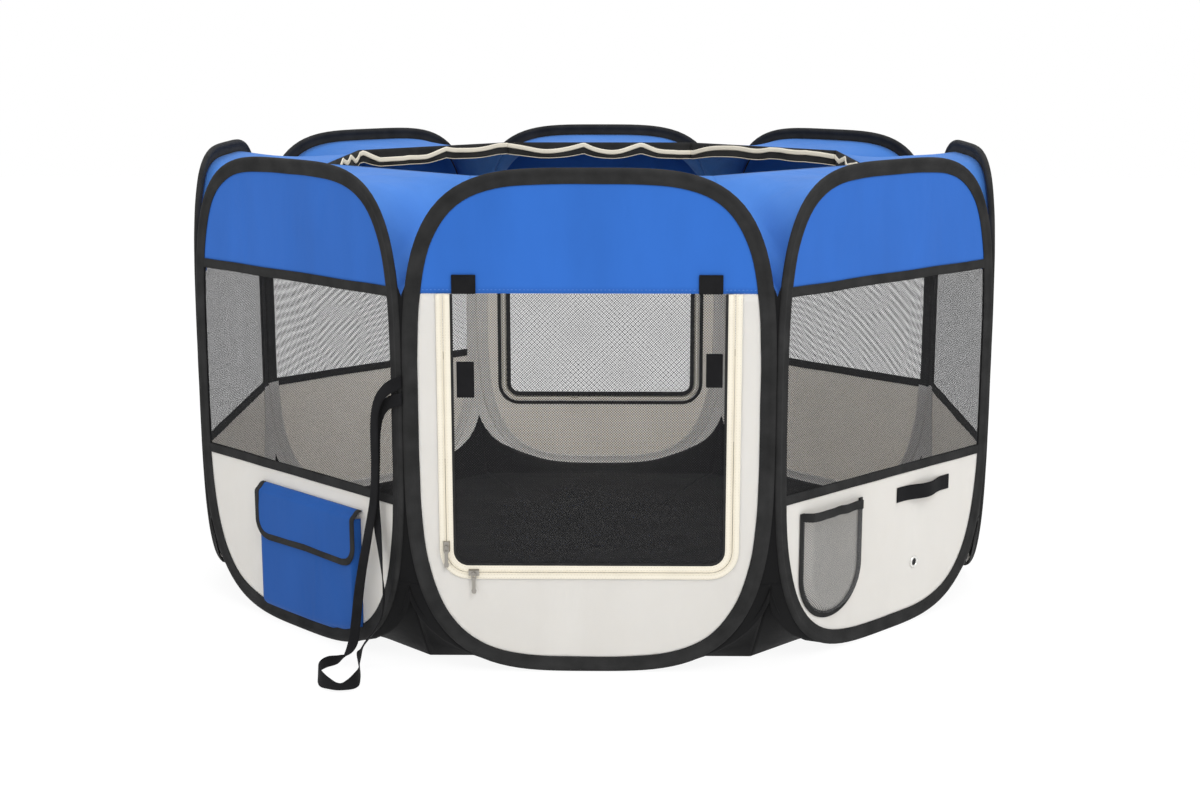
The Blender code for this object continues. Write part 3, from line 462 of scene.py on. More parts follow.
def skin(name, rings, closed):
    """Join closed cross-sections into one skin. UV runs along the line and round the section, in metres."""
    bm = bmesh.new()
    layer = bm.loops.layers.uv.new("metres")
    made = [[bm.verts.new(p) for p in ring] for ring in rings]
    middles = [sum(ring, Vector()) / len(ring) for ring in rings]
    along, size = [0.0], len(rings[0])
    for first, second in zip(middles, middles[1:] + middles[:1]):
        along.append(along[-1] + (second - first).length)
    round_it = [0.0]
    for step in range(size):
        round_it.append(round_it[-1] + (rings[0][(step + 1) % size] - rings[0][step]).length)
    for step in range(len(rings) if closed else len(rings) - 1):
        first, second = made[step], made[(step + 1) % len(made)]
        for side in range(size):
            nxt = (side + 1) % size
            face = bm.faces.new((first[side], first[nxt], second[nxt], second[side]))
            places = ((step, side), (step, side + 1), (step + 1, side + 1), (step + 1, side))
            for corner, (a, b) in zip(face.loops, places):
                corner[layer].uv = (along[a], round_it[b])
    if not closed:
        bm.faces.new(made[0])
        bm.faces.new(made[-1])
    bmesh.ops.recalc_face_normals(bm, faces=bm.faces)
    return from_bmesh(name, bm)


def tape(name, points, looks, width, thickness, columns=4):
    """A flat tape along a line. Looks gives the way that its face looks at each point, or at all of them."""
    looks = [looks] * len(points) if isinstance(looks, Vector) else looks
    edge = 1 - thickness / width
    section = [(edge * (2 * k / columns - 1), 0.5) for k in range(columns + 1)] + [(1.0, 0.0)]
    section += [(-a, -0.5) for a, _ in section[:-1]] + [(-1.0, 0.0)]
    rings = []
    for step, (point, look) in enumerate(zip(points, looks)):
        ahead, behind = points[min(step + 1, len(points) - 1)], points[max(step - 1, 0)]
        across = (ahead - behind).cross(look).normalized()
        up = across.cross(ahead - behind).normalized()
        rings.append([point + across * a * width / 2 + up * b * thickness for a, b in section])
    return skin(name, rings, closed=False)


print("tape helper ready")

# %% [markdown]
# ## One stitch, copied
# Stitches and zip teeth are the same small shape a few thousand times over. It is modelled once, as a cube
# whose top is drawn in, and its mesh is then copied along a line. An Array modifier on a curve could place
# the copies, but it bends each one, and a stitch stays straight. With six faces each, they stay cheap.

# %% A stitch, and rows of them
def model_stud():
    """A cube of unit size on the origin, with its upper face drawn in as a pulled thread is."""
    deselect()
    bpy.ops.mesh.primitive_cube_add(size=1.0, location=(0, 0, 0.5))
    stud = fresh_primitive("stud")
    for face in stud.data.polygons:
        face.select = face.normal.z > 0.9
    bpy.ops.object.mode_set(mode="EDIT")
    bpy.ops.mesh.select_mode(type="FACE")
    bpy.ops.transform.resize(value=(0.62, 0.62, 1.0))
    bpy.ops.object.mode_set(mode="OBJECT")
    corners = [vert.co.copy() for vert in stud.data.vertices]
    quads = [tuple(face.vertices) for face in stud.data.polygons]
    bpy.data.objects.remove(stud, do_unlink=True)
    return corners, quads


STUD_CORNERS, STUD_FACES = model_stud()


def studs(name, lines, looks, shape, sink=0.35, first=1):
    """Copies of the stud along lines. Shape is its length, pitch, width and height, and sink is the share of
    its height that lies in the cloth. First is 1 for copies in the middle of each pitch, or 0 for copies half
    a pitch earlier."""
    length, pitch, width, height = shape
    bm = bmesh.new()
    for line, look in zip(lines, looks):
        run = sum((b - a).length for a, b in zip(line, line[1:]))
        count = max(2, round(run / pitch))
        spots = even(line, count * 2 + 1)[first::2]
        for step, spot in enumerate(spots):
            forward = (spots[min(step + 1, len(spots) - 1)] - spots[max(step - 1, 0)]).normalized()
            up = look.normalized()
            side = up.cross(forward).normalized()
            verts = []
            for co in STUD_CORNERS:
                flat = spot + forward * co.x * length + side * co.y * width
                verts.append(bm.verts.new(flat + up * (co.z - sink) * height))
            for quad in STUD_FACES:
                bm.faces.new([verts[corner] for corner in quad])
    return from_bmesh(name, bm, smooth=False)


print("stud corners", len(STUD_CORNERS))

# %% [markdown]
# ## The hanging strap
# A flat webbing loop ties the folded pen. Both of its ends are sewn into the seam left of the front wall,
# it hangs down the outside, lies on the ground in a small loop and comes back up. It is a free cord, so
# its route and its length are the first thing to settle. The route is the one that the part's source has. A
# curve with a bevel could follow it, but its flat side would turn with every bend. So each point of the
# route also says which way the webbing's face looks.

# %% Strap route
STRAP_WIDTH, WEBBING = 0.014, 0.0012
STRAP_ROUTE = (
    ((-0.2108, -0.5089, 0.3410), (0.92, -0.38, 0.00)), ((-0.2124, -0.5126, 0.3405), (0.78, -0.63, 0.00)),
    ((-0.2190, -0.5128, 0.3380), (-0.20, -0.98, 0.00)), ((-0.2289, -0.5085, 0.3310), (-0.71, -0.71, 0.00)),
    ((-0.2374, -0.5018, 0.3200), (-0.71, -0.71, 0.00)), ((-0.2430, -0.4968, 0.3030), (-0.71, -0.71, 0.00)),
    ((-0.2450, -0.4948, 0.2800), (-0.71, -0.71, 0.00)), ((-0.2450, -0.4948, 0.2400), (-0.71, -0.71, 0.00)),
    ((-0.2481, -0.4917, 0.1980), (-0.71, -0.71, 0.00)), ((-0.2564, -0.4841, 0.1550), (-0.64, -0.77, 0.00)),
    ((-0.2649, -0.4763, 0.1150), (-0.57, -0.82, 0.00)), ((-0.2710, -0.4722, 0.0800), (-0.50, -0.87, 0.00)),
    ((-0.2755, -0.4705, 0.0450), (-0.45, -0.88, 0.15)), ((-0.2788, -0.4748, 0.0220), (-0.35, -0.70, 0.62)),
    ((-0.2845, -0.4865, 0.0110), (-0.45, 0.10, 0.88)), ((-0.2933, -0.4965, 0.0085), (-0.68, 0.60, 0.40)),
    ((-0.3045, -0.5045, 0.0085), (-0.75, 0.62, 0.10)), ((-0.3105, -0.5190, 0.0085), (-0.99, 0.10, 0.10)),
    ((-0.3087, -0.5406, 0.0085), (-0.97, -0.20, 0.10)), ((-0.3008, -0.5609, 0.0065), (-0.60, -0.50, 0.62)),
    ((-0.2889, -0.5713, 0.0045), (-0.10, -0.28, 0.95)), ((-0.2769, -0.5748, 0.0045), (0.05, -0.25, 0.96)),
    ((-0.2655, -0.5665, 0.0060), (0.55, -0.40, 0.72)), ((-0.2618, -0.5437, 0.0085), (0.98, -0.05, 0.10)),
    ((-0.2651, -0.5203, 0.0085), (0.98, 0.15, 0.10)), ((-0.2688, -0.5030, 0.0095), (0.98, 0.10, 0.15)),
    ((-0.2680, -0.4930, 0.0170), (0.95, 0.00, 0.30)), ((-0.2600, -0.4930, 0.0300), (0.80, -0.20, -0.50)),
    ((-0.2480, -0.4990, 0.0460), (0.80, -0.20, -0.55)), ((-0.2395, -0.5040, 0.0660), (0.95, 0.00, -0.25)),
    ((-0.2372, -0.5030, 0.0880), (1.00, 0.00, 0.00)), ((-0.2390, -0.4995, 0.1150), (0.97, 0.20, 0.00)),
    ((-0.2415, -0.4940, 0.1400), (0.88, 0.45, 0.00)), ((-0.2445, -0.4890, 0.1680), (0.71, 0.71, 0.00)),
    ((-0.2463, -0.4851, 0.2000), (0.71, 0.71, 0.00)), ((-0.2441, -0.4872, 0.2456), (0.71, 0.71, 0.00)),
    ((-0.2425, -0.4888, 0.2780), (0.71, 0.71, 0.00)), ((-0.2376, -0.4937, 0.3000), (0.71, 0.71, 0.00)),
    ((-0.2292, -0.5014, 0.3130), (0.71, 0.71, 0.00)), ((-0.2207, -0.5099, 0.3190), (0.45, 0.89, 0.00)),
    ((-0.2124, -0.5126, 0.3210), (-0.60, 0.80, 0.00)), ((-0.2108, -0.5089, 0.3210), (-0.92, 0.38, 0.00)),
)


def smooth_point(values, place):
    """Point at a place, counted in spans, on the smooth curve through a list of vectors."""
    span = min(int(place), len(values) - 2)
    t = place - span
    before, start = values[max(span - 1, 0)], values[span]
    end, after = values[span + 1], values[min(span + 2, len(values) - 1)]
    bend = (2 * before - 5 * start + 4 * end - after) * t * t
    return start + ((end - before) * t + bend + (3 * start - before - 3 * end + after) * t ** 3) / 2


STRAP_RINGS = 330
strap_points, strap_looks = ([Vector(entry[i]) for entry in STRAP_ROUTE] for i in (0, 1))
strap_places = [(len(STRAP_ROUTE) - 1) * k / STRAP_RINGS for k in range(STRAP_RINGS + 1)]
strap_line = [smooth_point(strap_points, place) for place in strap_places]
strap_faces = [smooth_point(strap_looks, place) for place in strap_places]
strap_length = sum((b - a).length for a, b in zip(strap_line, strap_line[1:]))
strap = tape("hanging_strap_webbing", strap_line, strap_faces, STRAP_WIDTH, WEBBING, columns=6)
dressed(strap, "front_wall", WEBBING_BLACK, ["hanging_strap"])
print("strap", round(strap_length, 3), "m")

# %% [markdown]
# ## The outline of a wall
# A hoop that is sprung into a taut cloth settles near a superellipse: straighter than an ellipse, rounder
# than a rectangle, and a little squarer at its top. It could be traced point by point, but a formula is
# smoother, and the cloths, bindings and stitches can all be set in from it by their own distance.

# %% Wall outline
OUTLINE_POINTS, RAW_POINTS = 156, 1440


def wall_level(x, z):
    """Where a point lies in the outline: 0 in the middle, 1 on the edge."""
    square = TOP_SQUARENESS if z > HEIGHT / 2 else BOTTOM_SQUARENESS
    across, up = abs(x) / (SIDE / 2 - EDGE_SETBACK), abs(z - HEIGHT / 2) / (HEIGHT / 2)
    return (across ** square + up ** square) ** (1 / square)


def wall_outline(inset=0.0):
    """The wall's edge as (x, z) points, counter-clockwise, moved in by inset."""
    raw = []
    for step in range(RAW_POINTS):
        turn = 2 * math.pi * step / RAW_POINTS
        square = TOP_SQUARENESS if math.sin(turn) > 0 else BOTTOM_SQUARENESS
        x, z = (math.copysign(abs(f) ** (2 / square), f) for f in (math.cos(turn), math.sin(turn)))
        raw.append((x * (SIDE / 2 - EDGE_SETBACK), HEIGHT / 2 * (1 + z)))
    edge, moved = even(raw, OUTLINE_POINTS, closed=True), []
    for step, point in enumerate(edge):
        along = (edge[(step + 1) % len(edge)] - edge[step - 1]).normalized()
        moved.append(point + inset * Vector((-along.y, along.x)))
    return moved


def part_between(outline, low, high):
    """The part of an outline from one height to another."""
    kept = []
    for step, point in enumerate(outline):
        last = outline[step - 1]
        for level in sorted((low, high), reverse=last.y > point.y):
            if (last.y - level) * (point.y - level) < 0:
                kept.append(last.lerp(point, (level - last.y) / (point.y - last.y)))
        if low <= point.y <= high:
            kept.append(point)
    return [tuple(p) for p in kept]


def on_wall(wall, flat, v):
    """Points (x, z) of a wall's own drawing, off its middle plane by v, in the pen's frame."""
    return [at_wall(wall, p[0], v, p[1]) for p in flat]


bare_edge = wall_outline()
print("outline length", round(sum((a - b).length for a, b in zip(bare_edge, bare_edge[1:])), 3))

# %% [markdown]
# ## Bindings
# Each hoop lies in the fold of a black tape, whose two flaps clamp the wall's cloths and are sewn through.
# Sewn tape is never quite even, so its width and its bulge drift a little along the edge. A bevelled curve
# could carry the folded section, but it only scales it as a whole, so the section is drawn at every point.

# %% The folded tape
# Half of the folded tape's outer face, hem to fold, in millimetres in from the edge and off the middle.
BINDING_SECTION = [(18.0, 1.45), (17.4, 1.72), (14.0, 1.66), (10.5, 1.72), (8.4, 2.05), (6.9, 2.75),
                   (5.5, 3.25), (3.9, 3.42), (2.3, 3.05), (0.9, 2.1), (0.25, 0.9)]
FLAP_STARTS, FOLD_STANDS, FOLD_TURN, TAPE_CLOTH = 8, 1.8, 0.0008, 0.0009
BINDING_SEWN_INSET, BINDING_SEWN_V = 0.0152, 0.00168
BINDING_STITCH = (0.0032, 0.0046, 0.00055, 0.0004)
WIDTH_DRIFT, BULGE_DRIFT = 0.03, 0.05


def binding_ring(wall, point, inward, along, seed):
    """The folded tape's section at one point of the edge."""
    wide = 1 + WIDTH_DRIFT * noise.noise(Vector((along * 23, seed, 0)))
    full = 1 + BULGE_DRIFT * noise.noise(Vector((along * 31, seed, 5)))
    outer = []
    for u, v in BINDING_SECTION:
        stretch, swell = wide if u > FLAP_STARTS else 1, full if v > FOLD_STANDS else 1
        outer.append((u * stretch / 1000, v * swell / 1000))
    inner = []
    for u, v in outer[::3]:
        in_fold = (u + FOLD_TURN, max(SLOT_HALF, v - TAPE_CLOTH))
        inner.append((u, SLOT_HALF) if u > FLAP_STARTS / 1000 else in_fold)
    half = [*outer, (0.0, 0.0)]
    section = half + [(u, -v) for u, v in reversed(outer)]
    section += [(u, -v) for u, v in inner] + [(u, v) for u, v in reversed(inner)]
    return [at_wall(wall, point.x + inward.x * u, v, point.y + inward.y * u) for u, v in section]


def make_binding(wall):
    """A wall's folded tape and its two rows of stitches."""
    name, body, edge = WALLS[wall], WALLS[wall] + "_wall", wall_outline()
    rings, along = [], 0.0
    for step, point in enumerate(edge):
        ahead = (edge[(step + 1) % len(edge)] - edge[step - 1]).normalized()
        rings.append(binding_ring(wall, point, Vector((-ahead.y, ahead.x)), along, wall * 7.3))
        along += (point - edge[step - 1]).length
    piece = skin(name + "_binding_tape", rings, closed=True)
    dressed(piece, body, BINDING_BLACK, [name + "_binding"])
    row = wall_outline(BINDING_SEWN_INSET)
    row.append(row[0])
    rows = [on_wall(wall, row, side * BINDING_SEWN_V) for side in (1, -1)]
    sewn = studs(name + "_binding_stitches", rows, [outward(wall), -outward(wall)], BINDING_STITCH)
    dressed(sewn, body, BLACK_THREAD)


print("flaps reach in", BINDING_SECTION[0][0], "mm")

# %% [markdown]
# ## Linings
# Inside the pen the walls' own cloth is turned over the binding's inner flap, cream low down and blue above,
# so that below the rim black shows only beside the windows. Its cream is painted lighter than the walls'
# cream, as painted light that makes up for the shade in the seams and for the light that the cloth lets
# through. The flap could be painted in these colours, but a
# strip of cloth has an edge of its own that catches the light.

# %% Lining strips
def flap_bulge(u):
    """How far the binding stands off at a distance in from its edge."""
    for (near, high), (far, low) in zip(BINDING_SECTION[::-1], BINDING_SECTION[-2::-1]):
        if near <= u * 1000 <= far:
            return (high + (low - high) * (u * 1000 - near) / (far - near)) / 1000
    return BINDING_SECTION[0][1] / 1000


# The lining's own hem, in from the edge and off the middle, and how far it is held back low down.
LINING_HEM, LINING_CLOTH, LINING_GAP = [(0.0195, 0.0006), (0.0190, 0.0019)], 0.0004, 0.00015
LINING_END, HELD_BACK, HELD_BELOW = 0.0185, 0.0062, 0.030


def make_lining(name, wall, run, finish):
    """The wall's own cloth, turned over the binding's inner flap so that the pen is smooth inside. It reaches
    round to the seam, but low down it ends where the floor is sewn on."""
    rings = []
    for step, point in enumerate(run):
        ahead = (run[min(step + 1, len(run) - 1)] - run[max(step - 1, 0)]).normalized()
        held = HELD_BACK * ease(HELD_BELOW - point.y, 0.0, 0.02)
        reach = [held + u / 1000 * (1 - held / LINING_END) for u, v in BINDING_SECTION[1:-1]]
        section = LINING_HEM + [(u, flap_bulge(u) * (1 + BULGE_DRIFT) + LINING_GAP) for u in reach]
        section += [(u, v + LINING_CLOTH) for u, v in reversed(section)]
        rings.append([at_wall(wall, point.x - ahead.y * u, -v, point.y + ahead.x * u) for u, v in section])
    dressed(skin(name, rings, closed=False), WALLS[wall] + "_wall", finish)


def lining_height(*walls):
    """The cream lining ends under the windows, but beside a door wall it goes up as far as the door."""
    return WINDOW_TOP if any(wall % 4 == 0 for wall in walls) else WINDOW_BOTTOM + 0.004


print("binding stands off", round(flap_bulge(0.004) * 1000, 2), "mm over the hoop")


# %% Bindings, linings and hoops of every wall
def refinish(node_name, finish):
    """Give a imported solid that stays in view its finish."""
    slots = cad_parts[node_name].data.materials
    slots.clear()
    slots.append(finish)


LINING_TOP = 0.475
for wall in range(len(WALLS)):
    make_binding(wall)
    edge = wall_outline()
    above = [step for step, point in enumerate(edge) if point.y > WINDOW_TOP]
    for side, half in (("right", above[:len(above) // 2]), ("left", above[len(above) // 2:])):
        beside = half[0] - 1 if side == "right" else half[-1] + 1
        arm = sorted([step for step in half if edge[step].y < LINING_TOP] + [beside])
        run = [edge[step] for step in arm]
        make_lining(f"{WALLS[wall]}_{side}_top_lining", wall, run, BLUE)
    below = edge[above[-1] + 1:] + edge[:above[0]]
    below = [point for point in below if point.y < lining_height(wall, wall + math.copysign(1, point.x))]
    make_lining(WALLS[wall] + "_lower_lining", wall, below, LIT_LINING_CREAM)
    refinish(WALLS[wall] + "_wire_hoop", SPRING_STEEL)
print("bindings", len(WALLS))

# %% [markdown]
# ## Seams between the walls
# Two walls are sewn together edge to edge. A strip of black cloth closes the seam, with a cream strip inside
# it. A strip could ride on one of its walls, but it would tear from the other as the pen folds. So it is
# blended between the two, and except beside the back wall it is fixed to neither. The strips start above
# the gussets that close the foot of the seam, which come later.

# %% Cloth from rows of points
SEAM_CLOTH = 0.0006
FLOOR_APEX_Z, WEB_FOOT, GUSSET_TOP = 0.100, 0.020, 0.104
SEAM_FOOT = GUSSET_TOP - 0.006


def edge_x(z):
    """How far out the wall's side edge lies at a height."""
    square = TOP_SQUARENESS if z > HEIGHT / 2 else BOTTOM_SQUARENESS
    return (SIDE / 2 - EDGE_SETBACK) * (1 - abs(2 * z / HEIGHT - 1) ** square) ** (1 / square)


def grid_piece(name, patches):
    """Cloth from patches, each a list of rows of points."""
    bm = bmesh.new()
    for patch in patches:
        rows = [[bm.verts.new(point) for point in row] for row in patch]
        for first, second in zip(rows, rows[1:]):
            for k in range(len(first) - 1):
                bm.faces.new((first[k], first[k + 1], second[k + 1], second[k]))
    map_metres(bm, lambda vert: vert.co.xz)
    bmesh.ops.recalc_face_normals(bm, faces=bm.faces)
    return thicken(from_bmesh(name, bm), SEAM_CLOTH)


print("edge at half height", round(edge_x(HEIGHT / 2), 4))


# %% Seam strips
def make_seam(wall, kind, high, notch, tuck, v, finish):
    """A strip up the seam, tucked a distance into both walls' edges and set off from their middle plane. Its
    middle ends a notch lower than its sides. The seam after the back wall is the one that the model leaves
    without a joint, so its strip rides on the back wall."""
    after = (wall + 1) % len(WALLS)
    rows = []
    for step in range(51):
        up, row = step / 50, []
        for k in range(7):
            inmost = 1 - abs(k - 3) / 3
            z = SEAM_FOOT + (high - SEAM_FOOT) * up - inmost * notch * up ** 6
            near, far = at_wall(wall, edge_x(z) - tuck, v, z), at_wall(after, tuck - edge_x(z), v, z)
            row.append(near.lerp(far, k / 6))
        rows.append(row)
    piece = grid_piece(f"{WALLS[wall]}_to_{WALLS[after]}_{kind}", [rows])
    piece.data.materials.append(finish)
    if WALLS[wall] == "back":
        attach(piece, "back_wall")
    else:
        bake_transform(piece)


for wall in range(len(WALLS)):
    make_seam(wall, "seam", high=0.455, notch=0.018, tuck=0.0025, v=0.0, finish=FLOOR_BLACK)
    make_seam(wall, "seam_lining", high=lining_height(wall, wall + 1) - 0.008, notch=0.0, tuck=0.0050,
              v=-0.0008, finish=LIT_LINING_CREAM)
print("seams", len(WALLS))

# %% [markdown]
# ## Wall cloths
# The hoop pulls the cloths taut, so they are flat near their seams and only ripple a millimetre or two in
# the open. Where a pocket, tab or strap is sewn on, the cloth stays flat. They could all be left flat, but
# cloth with no ripple at all looks like card.

# %% How far each cloth is lifted
CALM = {
    "front_left": (-0.080, 0.140, 0.030, 0.186),
    "front_right": (-0.185, 0.140, 0.045, 0.190),
    "front": (-0.172, 0.172, 0.105, 0.470),
    "back": (-0.172, 0.172, 0.105, 0.445),
}


def calm_share(name, x, z):
    """0 where something is sewn on, 1 well away from it."""
    if name not in CALM:
        return 1.0
    left, right, low, high = CALM[name]
    off = max(left - x, x - right, low - z, z - high)
    return ease(off, 0.0, 0.03)


RIPPLE_FINENESS = 7.0


def taut(wall, size, low, high):
    """A lift for a cloth that is held at its binding and at two heights."""
    name = WALLS[wall]

    def lift(x, z):
        from_edge = (1 - wall_level(x, z)) * SIDE / 2
        free = ease(from_edge, 0.014, 0.07) * ease(z - low, 0.006, 0.04) * ease(high - z, 0.006, 0.04)
        wave = ripple(x, z * 0.6, wall * 3.1 + low, RIPPLE_FINENESS)
        wave += 0.4 * ripple(x, z, wall + 9.7, RIPPLE_FINENESS * 3)
        return size * wave * free * calm_share(name, x, z)

    return lift


print("cloth lifts ready")


# %% Blue bands, windows and lower cloths
def door_path(offset):
    """The zip's U, from its left top down, along and up to its right top. Offset widens the U."""
    half, bottom, radius = DOOR_HALF_WIDTH + offset, DOOR_BOTTOM - offset, DOOR_CORNER_RADIUS + offset
    top, steps = WINDOW_TOP - GAP, 10
    path = [(-half, top)]
    for side in (-1, 1):
        for step in range(steps + 1):
            turn = math.pi / 2 * step / steps
            across, down = (math.cos(turn), math.sin(turn)) if side < 0 else (math.sin(turn), math.cos(turn))
            path.append((side * (half - radius) + side * radius * across, bottom + radius - radius * down))
    path.append((half, top))
    return path


def wall_cloth(wall, kind, replaced, outline, low, high, finish, slot, size=0.0022, **cut):
    """A wall's cloth from one height to another. Size is how far it ripples."""
    piece = cloth(f"{WALLS[wall]}_{kind}", wall, outline, taut(wall, size, low, high), **cut)
    dressed(piece, WALLS[wall] + "_wall", finish, [f"{WALLS[wall]}_{replaced}"])
    declare(outline)


for wall, name in enumerate(WALLS):
    edge = wall_outline(SHEET_INSET)
    band = part_between(edge, WINDOW_TOP + GAP, HEIGHT)
    wall_cloth(wall, "blue_cloth", "blue_band", band, WINDOW_TOP, HEIGHT, BLUE, "blue_cloth")
    if name in ("front", "back"):
        below = part_between(edge, 0, WINDOW_TOP - GAP)
        start = min(range(len(below)), key=lambda step: (-round(below[step][1], 6), below[step][0]))
        cut = below[start:] + below[:start] + door_path(ZIP_SEAM)[::-1]
        wall_cloth(wall, "door_surround_cloth", "door_surround", cut, 0, WINDOW_TOP, CREAM, "cream_cloth")
        continue
    window = part_between(edge, WINDOW_BOTTOM + GAP, WINDOW_TOP - GAP)
    wall_cloth(wall, "window_mesh", "mesh_window", window, WINDOW_BOTTOM, WINDOW_TOP, WINDOW_MESH,
               "black_mesh", size=0.003, thickness=MESH_CLOTH, cell=0.014)
    lower = part_between(edge, 0, WINDOW_BOTTOM - GAP)
    wall_cloth(wall, "lower_panel_cloth", "lower_cloth", lower, 0, WINDOW_BOTTOM, CREAM, "cream_cloth")

# %% [markdown]
# ## Tapes over the window seams
# The seams above and below each window are covered by a narrow black tape on both faces, sewn by a row of
# stitches near each edge. The material of the cloth could paint them, but tape has a thickness, and light
# that grazes the wall shows it.

# %% Window seam tapes
CROSS_TAPE_WIDTH, CROSS_TAPE_THICKNESS, CROSS_TAPE_V = 0.0115, 0.0007, 0.00125
CROSS_SEWN_RISE, CROSS_SEWN_V = 0.0038, 0.0016
CROSS_STITCH = (0.0030, 0.0044, 0.0005, 0.0004)


def seam_tape(wall, height):
    """Lines of the two tapes over one seam, and of their stitches."""
    reach = SIDE / 2 - EDGE_SETBACK - 0.75 * BINDING_WIDTH
    lines, rows, looks = [], [], []
    for side in (1, -1):
        flat = []
        for step in range(61):
            x = reach * (step / 30 - 1)
            flat.append((x, height + 0.0011 * ripple(x, height, wall * 5.1 + side, 13.0)))
        lines.append(on_wall(wall, flat, side * CROSS_TAPE_V))
        for rise in (CROSS_SEWN_RISE, -CROSS_SEWN_RISE):
            rows.append(on_wall(wall, [(x, z + rise) for x, z in flat], side * CROSS_SEWN_V))
            looks.append(outward(wall) * side)
    return lines, rows, looks


for wall, name in enumerate(WALLS):
    if name in ("front", "back"):
        continue
    for where, height in (("top", WINDOW_TOP), ("bottom", WINDOW_BOTTOM)):
        lines, rows, looks = seam_tape(wall, height)
        for side, line in zip(("outer", "inner"), lines):
            made = tape(f"{name}_window_{where}_tape_{side}", line, outward(wall), CROSS_TAPE_WIDTH,
                        CROSS_TAPE_THICKNESS)
            dressed(made, name + "_wall", BINDING_BLACK)
        sewn = studs(f"{name}_window_{where}_stitches", rows, looks, CROSS_STITCH)
        dressed(sewn, name + "_wall", BLACK_THREAD)
print("window tapes done")

# %% [markdown]
# ## Doors and their zips
# Each door is a mesh sheet hemmed under the blue band and closed by a zip round its other three sides.
# The zip's two tapes meet at a row of interlocked coils. Seen from inside, both tapes have black edges. A
# bump could stand for the coils. As small solids they stay crisp.

# %% Door mesh, zip tapes and coils
ZIP_FACE = SLOT_HALF + 0.0001
ZIP_TAPE_OFFSET, ZIP_TAPE_WIDTH, ZIP_TAPE_THICKNESS = 0.0041, 0.0077, 0.0007
ZIP_COIL_OFFSET, ZIP_TOOTH = 0.0011, (0.00085, 0.0014, 0.0029, 0.0010)
ZIP_SEWN_OFFSETS, ZIP_STITCH = (0.0028, 0.0064), (0.0024, 0.0034, 0.00045, 0.0003)
EDGING_THICKNESS = 0.0009


def zip_half(name, wall, body, sign, replaced):
    """One ivory tape with its coil. Sign is 1 for the half outside the U and -1 for the door's half."""
    look = outward(wall)
    line = on_wall(wall, even(door_path(sign * ZIP_TAPE_OFFSET), 150), ZIP_FACE + 0.0004)
    strip = tape(name + "_tape", line, look, ZIP_TAPE_WIDTH, ZIP_TAPE_THICKNESS, columns=6)
    dressed(strip, body, IVORY, [replaced])
    line = on_wall(wall, even(door_path(sign * ZIP_COIL_OFFSET), 240), ZIP_FACE + 0.0006)
    coil = studs(name + "_coil", [line], [look], ZIP_TOOTH, sink=0.2, first=1 if sign > 0 else 0)
    dressed(coil, body, IVORY)
    rows = [on_wall(wall, even(door_path(sign * off), 200), ZIP_FACE + 0.00075) for off in ZIP_SEWN_OFFSETS]
    sewn = studs(name + "_stitches", rows, [look, look], ZIP_STITCH)
    dressed(sewn, body, CREAM_THREAD)


def make_door(name):
    """A door's mesh, both halves of its zip and the black edges of the zip's tapes."""
    wall, door = WALLS.index(name), name + "_door"
    cut = door_path(-ZIP_SEAM)
    mesh = cloth(door + "_mesh_cloth", wall, cut, lambda x, z: 0.0, thickness=MESH_CLOTH, cell=0.014)
    dressed(mesh, door, WINDOW_MESH, [name + "_mesh_door"])
    declare(cut)
    zip_half(name + "_zip_wall_half", wall, name + "_wall", 1, name + "_zip_surround_half")
    zip_half(name + "_zip_door_half", wall, door, -1, name + "_zip_door_half")
    for label, offset, v, body in (("door_front", -0.0094, 0.0010, door),
                                   ("door_back", -0.0076, -0.0010, door),
                                   ("wall_back", 0.0076, -0.0010, name + "_wall")):
        line = on_wall(wall, even(door_path(offset), 150), v)
        wide = 0.0032 if v > 0 else 0.0056
        edging = tape(f"{name}_{label}_edging", line, outward(wall), wide, EDGING_THICKNESS)
        dressed(edging, body, BINDING_BLACK)


for name in ("front", "back"):
    make_door(name)
for name in ("front_side", "front_bottom", "back"):
    for part in ("_slider", "_pull"):
        refinish(name + part, PLATED)
print("doors done")

# %% [markdown]
# ## The hem above each door
# The blue band ends in a turned hem with one row of light blue stitches, 4 mm above its edge. The hem could
# be folded cloth, but it is pressed flat and hardly shows, so only its stitches are made, on both faces.

# %% Hem stitches
HEM_REACH, HEM_Z, HEM_V = SIDE / 2 - 0.019, WINDOW_TOP + 0.0045, CLOTH / 2
HEM_STITCH = (0.0032, 0.0045, 0.0006, 0.0005)
hem_line = [(HEM_REACH * k / 40 - HEM_REACH, HEM_Z) for k in range(81)]
for name in ("front", "back"):
    wall = WALLS.index(name)
    rows = [on_wall(wall, hem_line, side * HEM_V) for side in (1, -1)]
    sewn = studs(name + "_hem_stitches", rows, [outward(wall), -outward(wall)], HEM_STITCH)
    dressed(sewn, name + "_wall", BLUE_THREAD)
print("hems done")

# %% [markdown]
# ## Tabs and patches of hook-and-loop tape
# The rolled door is held up by two tabs under the blue band, which press on to two patches on the door.
# Each starts as a cube. It is bevelled in edit mode, and inset twice so that a groove runs where it is sewn.
# A tape along a line would be quicker, but it has no groove and no pile.

# %% Tabs and patches
PAD_BORDER, PAD_GROOVE_WIDTH, PAD_GROOVE_DEPTH, PAD_PILE = 0.0016, 0.0006, 0.0003, 0.00012


